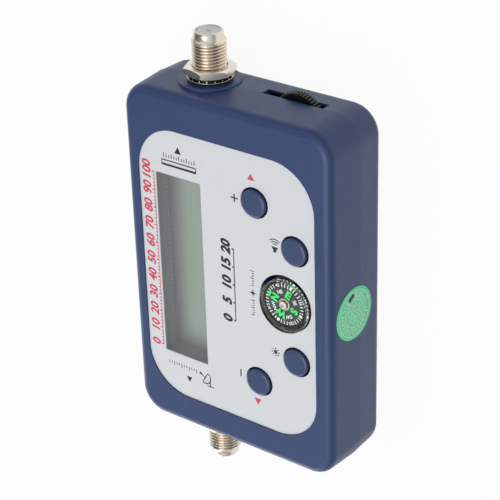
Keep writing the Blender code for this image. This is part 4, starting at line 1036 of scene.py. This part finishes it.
def compass_shapes():
    """Profiles of the cup, the capsule, the card and the jewel."""
    radius, rim = COMPASS_RADIUS, CUP_RIM
    cup = [(radius - 0.3, COMPASS_BOTTOM), (radius, COMPASS_BOTTOM + 0.3), (radius, rim),
           (radius - 0.6, rim), (radius - 0.8, rim - 0.4), (radius - 0.8, 18.4)]
    capsule = [(radius - 0.9, 18.3), (radius - 0.9, rim - 0.3), (radius, rim + 0.05)]
    capsule += rounded_edge(radius, COMPASS_TOP, COMPASS_EDGE)
    bottom, edge = CARD_TOP - CARD_THICKNESS, 0.05
    card = [(CARD_BORE, bottom), (CARD_RADIUS, bottom), (CARD_RADIUS, CARD_TOP - edge),
            (CARD_RADIUS - edge, CARD_TOP), (CARD_BORE, CARD_TOP)]
    jewel = [(1.6, 21.8), (1.6, 22.95), (1.8, 22.95), (1.8, CARD_TOP + 0.25), (1.65, CARD_TOP + 0.35),
             (1.35, CARD_TOP + 0.35), (1.3, JEWEL_TOP - 0.2), (1.2, JEWEL_TOP - 0.05), (1.05, JEWEL_TOP),
             (0.5, JEWEL_TOP - 0.04), (0.4, JEWEL_TOP - 0.3), (0.1, JEWEL_TOP - 0.35)]
    return cup, capsule, card, jewel


def compass():
    """Clear capsule in a dark cup, and the card that turns in it."""
    cup, capsule, card, jewel = compass_shapes()
    piece("compass_base", turned(cup, CAPSULE_CENTRE, FINE), "black_plastic", "compass_cup", look="cup")
    piece("compass_capsule", turned(capsule, CAPSULE_CENTRE, FINE), "clear_plastic", "compass_dome",
          look="capsule")
    piece("compass_disc", turned(card, COMPASS_CENTRE, FINE, ring=True), "black_plastic", "compass_card",
          look="card", body="card")
    white, green = [Ink(CARD_TOP - INK_SINK, CARD_TOP + INK_RISE) for _ in range(2)]

    def placed(ink, text, size, bold, degrees, radius, lift=0.0):
        angle = NORTH - radians(degrees)
        ink.text(text, size, bold, polar(radius, angle, COMPASS_CENTRE), turn=angle - QUARTER, lift=lift)

    for degrees in range(10, 360, 10):
        if min(degrees % 45, -degrees % 45) < 6 and degrees % 90:
            continue
        angle = NORTH - radians(degrees)
        reach, width = (5.15, 0.23) if degrees % 90 else (5.2, 0.75)
        white.line(polar(reach, angle, COMPASS_CENTRE), polar(6.2, angle, COMPASS_CENTRE), width)
    for degrees, text in ((45, "NE"), (135, "SE"), (225, "SW"), (315, "NW")):
        placed(white, str(degrees), 1.25, 0.02, degrees, 5.65)
        placed(white, text, 1.5, 0.03, degrees, 3.7)
    for degrees, text, size in ((0, "N", 3.0), (90, "E", 3.4), (180, "S", 3.2), (270, "W", 3.0)):
        placed(green, text, size, 0.15, degrees, 3.35, 0.005)
    turn = Matrix.Rotation(NORTH, 2)
    green.area([tuple(turn @ Vector(point) + Vector(COMPASS_CENTRE)) for point in NORTH_TIP])
    white.dry("compass_white_print", "white_ink", "black_plastic", "card")
    green.dry("compass_green_print", "luminous", "black_plastic", "card")
    piece("compass_cap_jewel", turned(jewel, COMPASS_CENTRE, 48), "brass", "compass_jewel", body="card")


# Gain wheel

def toothed(depth, shrink):
    """Outline of the knurled rim."""
    points = []
    for tooth in range(WHEEL_TEETH):
        for share, root in TOOTH_SHARES:
            angle = TURN * (tooth + share - TOOTH_START_SHARE) / WHEEL_TEETH
            points.append(polar(WHEEL_RADIUS - shrink - depth * root, angle, WHEEL_CENTRE))
    return points


def gain_wheel():
    """Knurled wheel with chamfered teeth and a dished side."""
    edge, full = toothed(0.40, WHEEL_CHAMFER), toothed(0.48, 0.0)
    rim = loft([(edge, WHEEL_BOTTOM), (full, WHEEL_BOTTOM + WHEEL_CHAMFER), (full, WHEEL_TOP - WHEEL_CHAMFER),
                (edge, WHEEL_TOP)])
    below = WHEEL_BOTTOM - OVERRUN
    bore = rod(WHEEL_BORE, below, WHEEL_TOP + OVERRUN, WHEEL_CENTRE)
    inner, outer, floor = WHEEL_DISH
    dish = turned([(outer, below), (outer, floor), (inner, floor), (inner, below)], WHEEL_CENTRE, ring=True)
    piece("knurled_wheel", rim, "wheel_plastic", "gain_wheel",
          (("DIFFERENCE", [bore]), ("DIFFERENCE", [dish])), look="knurl", body="wheel", weighted=False)


# Connectors

def thread(bottom, top):
    """Threaded barrel as one closed skin, with plain ends and a bore."""
    start, end = THREAD_START, THREAD_END - 0.02
    rows = []
    count = int((end - start) / THREAD_PITCH * ROWS_PER_PITCH)
    for row in range(count + 1):
        height = start + (end - start) * row / count
        fade = min(1.0, (height - start) / 0.5, (end - height) / 0.35)
        outline = []
        for step in range(THREAD_STEPS):
            phase = (height / THREAD_PITCH - step / THREAD_STEPS) % 1.0
            wave = abs(phase - 0.5) * 2
            flank = min(1.0, max(0.0, (wave - 0.2) / 0.8))
            depth = THREAD_DEPTH * 0.5 * (1 - cos(pi * flank)) * fade
            outline.append(polar(THREAD_RADIUS - depth, TURN * step / THREAD_STEPS))
        rows.append((outline, height))
    ends = [[(circle(radius, steps=THREAD_STEPS), height) for radius, height in profile]
            for profile in (bottom, top + [(BARREL_BORE, top[-1][1]), (BARREL_BORE, BARREL_TAIL)])]
    return loft(ends[0] + rows + ends[1], ring=True)


def connector(name, side):
    """Threaded socket, lock washer, nut and insulator."""
    matrix = end_matrix(side)

    def part(ending, shape, slot, replaced, **settings):
        piece(f"{name}_{ending}", moved(shape, matrix), slot, f"{name}_connector_{replaced}", **settings)

    bottom = [*BARREL_FLANGE, (THREAD_RADIUS, -2.9), (THREAD_RADIUS, 1.0)]
    nose = [(THREAD_RADIUS, THREAD_END), (THREAD_RADIUS - 0.15, THREAD_END + 0.15)]
    nose += [(COLLAR_RADIUS + wider, height) for wider, height in COLLAR_PROFILE]
    nose += [(3.55, CONNECTOR_REACH), (BARREL_BORE, CONNECTOR_REACH - 0.12)]
    part("threaded_barrel", thread(bottom, nose), "nickel_plate", "barrel", look="thread", weighted=False)
    part("milky_insulator", turned(INSULATOR_PROFILE, ring=True), "white_plastic", "insulator",
         look="insulator")
    corner, flat = NUT_ACROSS_FLATS / sqrt(3), NUT_ACROSS_FLATS / 2
    hexagon = circle(corner, steps=6, start=NUT_TURNS[name])
    inset, rise = NUT_EDGE
    rounding = [(flat - inset, NUT_BOTTOM), (corner + 0.1, NUT_BOTTOM + rise), (corner + 0.1, NUT_TOP - rise),
                (flat - inset, NUT_TOP)]
    bore = rod(NUT_BORE, NUT_BOTTOM - OVERRUN, NUT_TOP + OVERRUN)
    cuts = (("INTERSECT", [moved(turned(rounding, steps=FINE), matrix)]),
            ("DIFFERENCE", [moved(bore, matrix)]))
    part("hexagon_nut", plate(hexagon, NUT_BOTTOM, NUT_TOP), "nickel_plate", "nut", operations=cuts,
         bevel=0.10, bevel_angle=NUT_BEVEL_ANGLE)
    hoop_top = WASHER_BOTTOM + WASHER_HOOP
    hoop = [(WASHER_RADIUS - 0.08, WASHER_BOTTOM), (WASHER_RADIUS, WASHER_BOTTOM + 0.06),
            (WASHER_RADIUS, WASHER_BOTTOM + 0.14), (WASHER_RADIUS - 0.05, hoop_top),
            (WASHER_INSIDE, hoop_top), (WASHER_INSIDE, WASHER_TOP), (CONNECTOR_BORE, WASHER_TOP),
            (CONNECTOR_BORE, WASHER_BOTTOM)]
    near, far = (width / 2 for width in POST_WIDTHS)
    corners = ((WASHER_INSIDE - 0.1, -near), (WASHER_RADIUS - 0.12, -far), (WASHER_RADIUS - 0.12, far),
               (WASHER_INSIDE - 0.1, near))
    posts = []
    for index in range(WASHER_POSTS):
        centre = TURN * (index + 0.5) / WASHER_POSTS
        outline = [polar(radius, centre + angle) for radius, angle in corners]
        posts.append(moved(plate(outline, WASHER_BOTTOM + 0.12, WASHER_TOP - 0.02), matrix))
    part("toothed_washer", turned(hoop, steps=FINE, ring=True), "nickel_plate", "washer", look="washer",
         operations=(("UNION", posts),), bevel=0.03)


# Seal

def side_inset(height):
    """How far the long side stands in at a height."""
    if height < PARTING_HEIGHT:
        return 0.0
    edge_start = CASE_DEPTH - FRONT_EDGE_RADIUS
    lean = FRONT_DRAFT * min(1, (height - PARTING_HEIGHT) / (edge_start - PARTING_HEIGHT))
    rise = max(0, min(height - edge_start, FRONT_EDGE_RADIUS))
    return lean + FRONT_EDGE_RADIUS - sqrt(FRONT_EDGE_RADIUS ** 2 - rise ** 2)


def on_side(x, y, height):
    """Lay a flat drawing on the long side: x and y in the drawing, height out of it."""
    level = SEAL_CENTRE[1] + y
    return (SEAL_CENTRE[0] + x, -(HALF_WIDTH - side_inset(level) + height), level)


def laid(radius, inside, low, high):
    """Ring between two radii, laid on the side in small steps."""
    outer, inner = circle(radius, steps=FINE), circle(inside, steps=FINE)
    shape = bmesh.new()
    grids = []
    for height in (low, high):
        grid = []
        for row in range(SEAL_ROWS + 1):
            share = row / SEAL_ROWS
            between = [[a + (b - a) * share for a, b in zip(*ends)] for ends in zip(outer, inner)]
            grid.append([shape.verts.new(on_side(x, y, height)) for x, y in between])
        grids.append(grid)
    sheets = [(grid[row], grid[row + 1]) for row in range(SEAL_ROWS) for grid in grids]
    rims = [(grids[0][row], grids[1][row]) for row in (0, SEAL_ROWS)]
    for first, second in sheets + rims:
        for index in range(FINE):
            following = (index + 1) % FINE
            shape.faces.new((first[index], first[following], second[following], second[index]))
    bmesh.ops.recalc_face_normals(shape, faces=shape.faces)
    return shape


def seal():
    """Round sticker over the joint, with plain rings and strokes."""
    piece("round_seal", laid(SEAL_RADIUS, SEAL_HUB, *SEAL_LEVELS), "seal_paper", "seal_sticker",
          weighted=False)
    low, high = SEAL_INK_LEVELS
    ink = Ink(low, high, on_side)
    ink.shapes += [laid(radius + width / 2, radius - width / 2, low, high) for radius, width in SEAL_RINGS]
    for index in range(SEAL_STROKES):
        if index in SEAL_BARE:
            continue
        angle = TURN * index / SEAL_STROKES
        inner, outer = (4.5, 6.3) if index % 4 else (4.0, 6.7)
        bend = 0.11 * ((index * 7) % 5 - 2) / 2
        start, end = polar(inner, angle), polar(outer, angle + bend)
        ink.line(start, end, 0.21)
        if index % 3:
            middle = ((start[0] + end[0]) / 2, (start[1] + end[1]) / 2)
            ink.line(polar(-0.36, angle + QUARTER, middle), polar(0.36, angle + QUARTER, middle), 0.18, 0.01)
    for row in range(-4, 5):
        for column in range(-4, 5):
            x, y = column * SEAL_PITCH, row * SEAL_PITCH
            if hypot(x, y) < SEAL_FIELD and (row * 3 + column * 5) % 7:
                tilt = 0.26 if (row + column) % 2 else -0.26
                ink.line((x - 0.28, y - tilt), (x + 0.28, y + tilt), 0.20)
    ink.dry("seal_print", "seal_line", "seal_paper")
    box = Ink(low, high + 0.02, on_side)
    box.line((4.55, 2.35), (5.95, 0.45), 1.25)
    box.dry("seal_dark_box", "ink", "seal_paper")


def dress_hidden(frame):
    """Finishes for the CAD solids that stay."""
    slots = {entry["node"]: entry["material_slot"] for entry in frame["record"]["subparts"]}
    for name, node in frame["nodes"].items():
        node.data.materials.clear()
        node.data.materials.append(LOOKS[slots[name]])


# Stage

def seen(nodes, path):
    """1 for rays from the camera, also through clear pieces."""
    return nodes.number("MAXIMUM", path["Is Camera Ray"], path["Is Transmission Ray"])


def pale_floor():
    """Floor that is white to the camera and in gloss, keeps the shadow, and is clear from below."""
    shape = bmesh.new()
    bmesh.ops.create_grid(shape, x_segments=1, y_segments=1, size=FLOOR_REACH)
    floor = raw_object("floor", moved(shape, Matrix.Translation((0, 0, FLOOR_HEIGHT))))
    nodes = new_material("pale_floor")
    nodes.set(Base_Color=(FLOOR_GREY, FLOOR_GREY, FLOOR_GREY, 1), Roughness=0.9, Specular_IOR_Level=0.0)
    glow = nodes.add("ShaderNodeEmission", {"Color": (1, 1, 1, 1), "Strength": 1.0})
    path = nodes.add("ShaderNodeLightPath").outputs
    white = nodes.number("MAXIMUM", nodes.number("MULTIPLY", seen(nodes, path), FLOOR_WHITE),
                         nodes.number("MULTIPLY", path["Is Glossy Ray"], FLOOR_GLOSS))
    above = nodes.blend(white, nodes.shader.outputs[0], glow.outputs[0])
    behind = nodes.add("ShaderNodeNewGeometry").outputs["Backfacing"]
    nodes.finish(nodes.blend(behind, above, nodes.clear()))
    floor.data.materials.append(nodes.owner)


def lamps():
    """Soft lamps, each for diffuse light or for gloss alone."""
    for name, place, size, power, diffuse in LAMPS:
        light = bpy.data.lights.new(name, "AREA")
        light.shape = "RECTANGLE"
        light.size, light.size_y = size
        light.energy = power
        holder = added(name, light)
        holder.location = place
        direction = Vector(LAMP_TARGET) - Vector(place)
        holder.rotation_euler = direction.to_track_quat("-Z", "Y").to_euler()
        holder.visible_diffuse = diffuse
        holder.visible_glossy = not diffuse


def studio_world():
    """White world, dimmer as light, with a dark card and a dim horizon for glossy rays."""
    world = bpy.data.worlds.new("studio")
    bpy.context.scene.world = world
    nodes = Nodes(world)
    background = nodes.tree.nodes["Background"]
    background.inputs["Color"].default_value = (1, 1, 1, 1)
    path = nodes.add("ShaderNodeLightPath").outputs
    level = nodes.spread(seen(nodes, path), WORLD_LEVEL, 1.0, (0, 1))
    direction = nodes.add("ShaderNodeTexCoord").outputs["Generated"]
    toward = nodes.add("ShaderNodeVectorMath", {1: SHADE_DIRECTION}, operation="DOT_PRODUCT")
    nodes.link(direction, toward.inputs[0])
    shade = nodes.spread(toward.outputs["Value"], *SHADE_GLOSS, SHADE_SPAN, "SMOOTHSTEP")
    horizon = nodes.spread(nodes.split(direction)["Z"], *HORIZON_GLOSS, HORIZON_SPAN, "SMOOTHSTEP")
    gloss = nodes.number("ADD", shade, horizon)
    strength = nodes.number("MULTIPLY_ADD", path["Is Glossy Ray"], gloss, level)
    nodes.link(strength, background.inputs["Strength"])


def camera():
    """Camera at the photograph's place and angle."""
    data = bpy.data.cameras.new("camera")
    data.lens = CAMERA_LENS
    data.sensor_width = 36
    data.clip_start = 0.01
    holder = added("camera", data)
    holder.matrix_world = Matrix(CAMERA_ROWS)
    bpy.context.scene.camera = holder


def main():
    """Build everything round the frame."""
    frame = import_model()
    camera()
    LOOKS.update(make_looks())
    dress_hidden(frame)
    for build in (front_case, rear_case, case_screw_heads, face, panel_printing, display, buttons, compass,
                  gain_wheel):
        build()
    connector("receiver", 1)
    connector("dish", -1)
    seal()
    pale_floor()
    lamps()
    studio_world()
    bpy.context.scene.view_settings.view_transform = "Standard"


main()
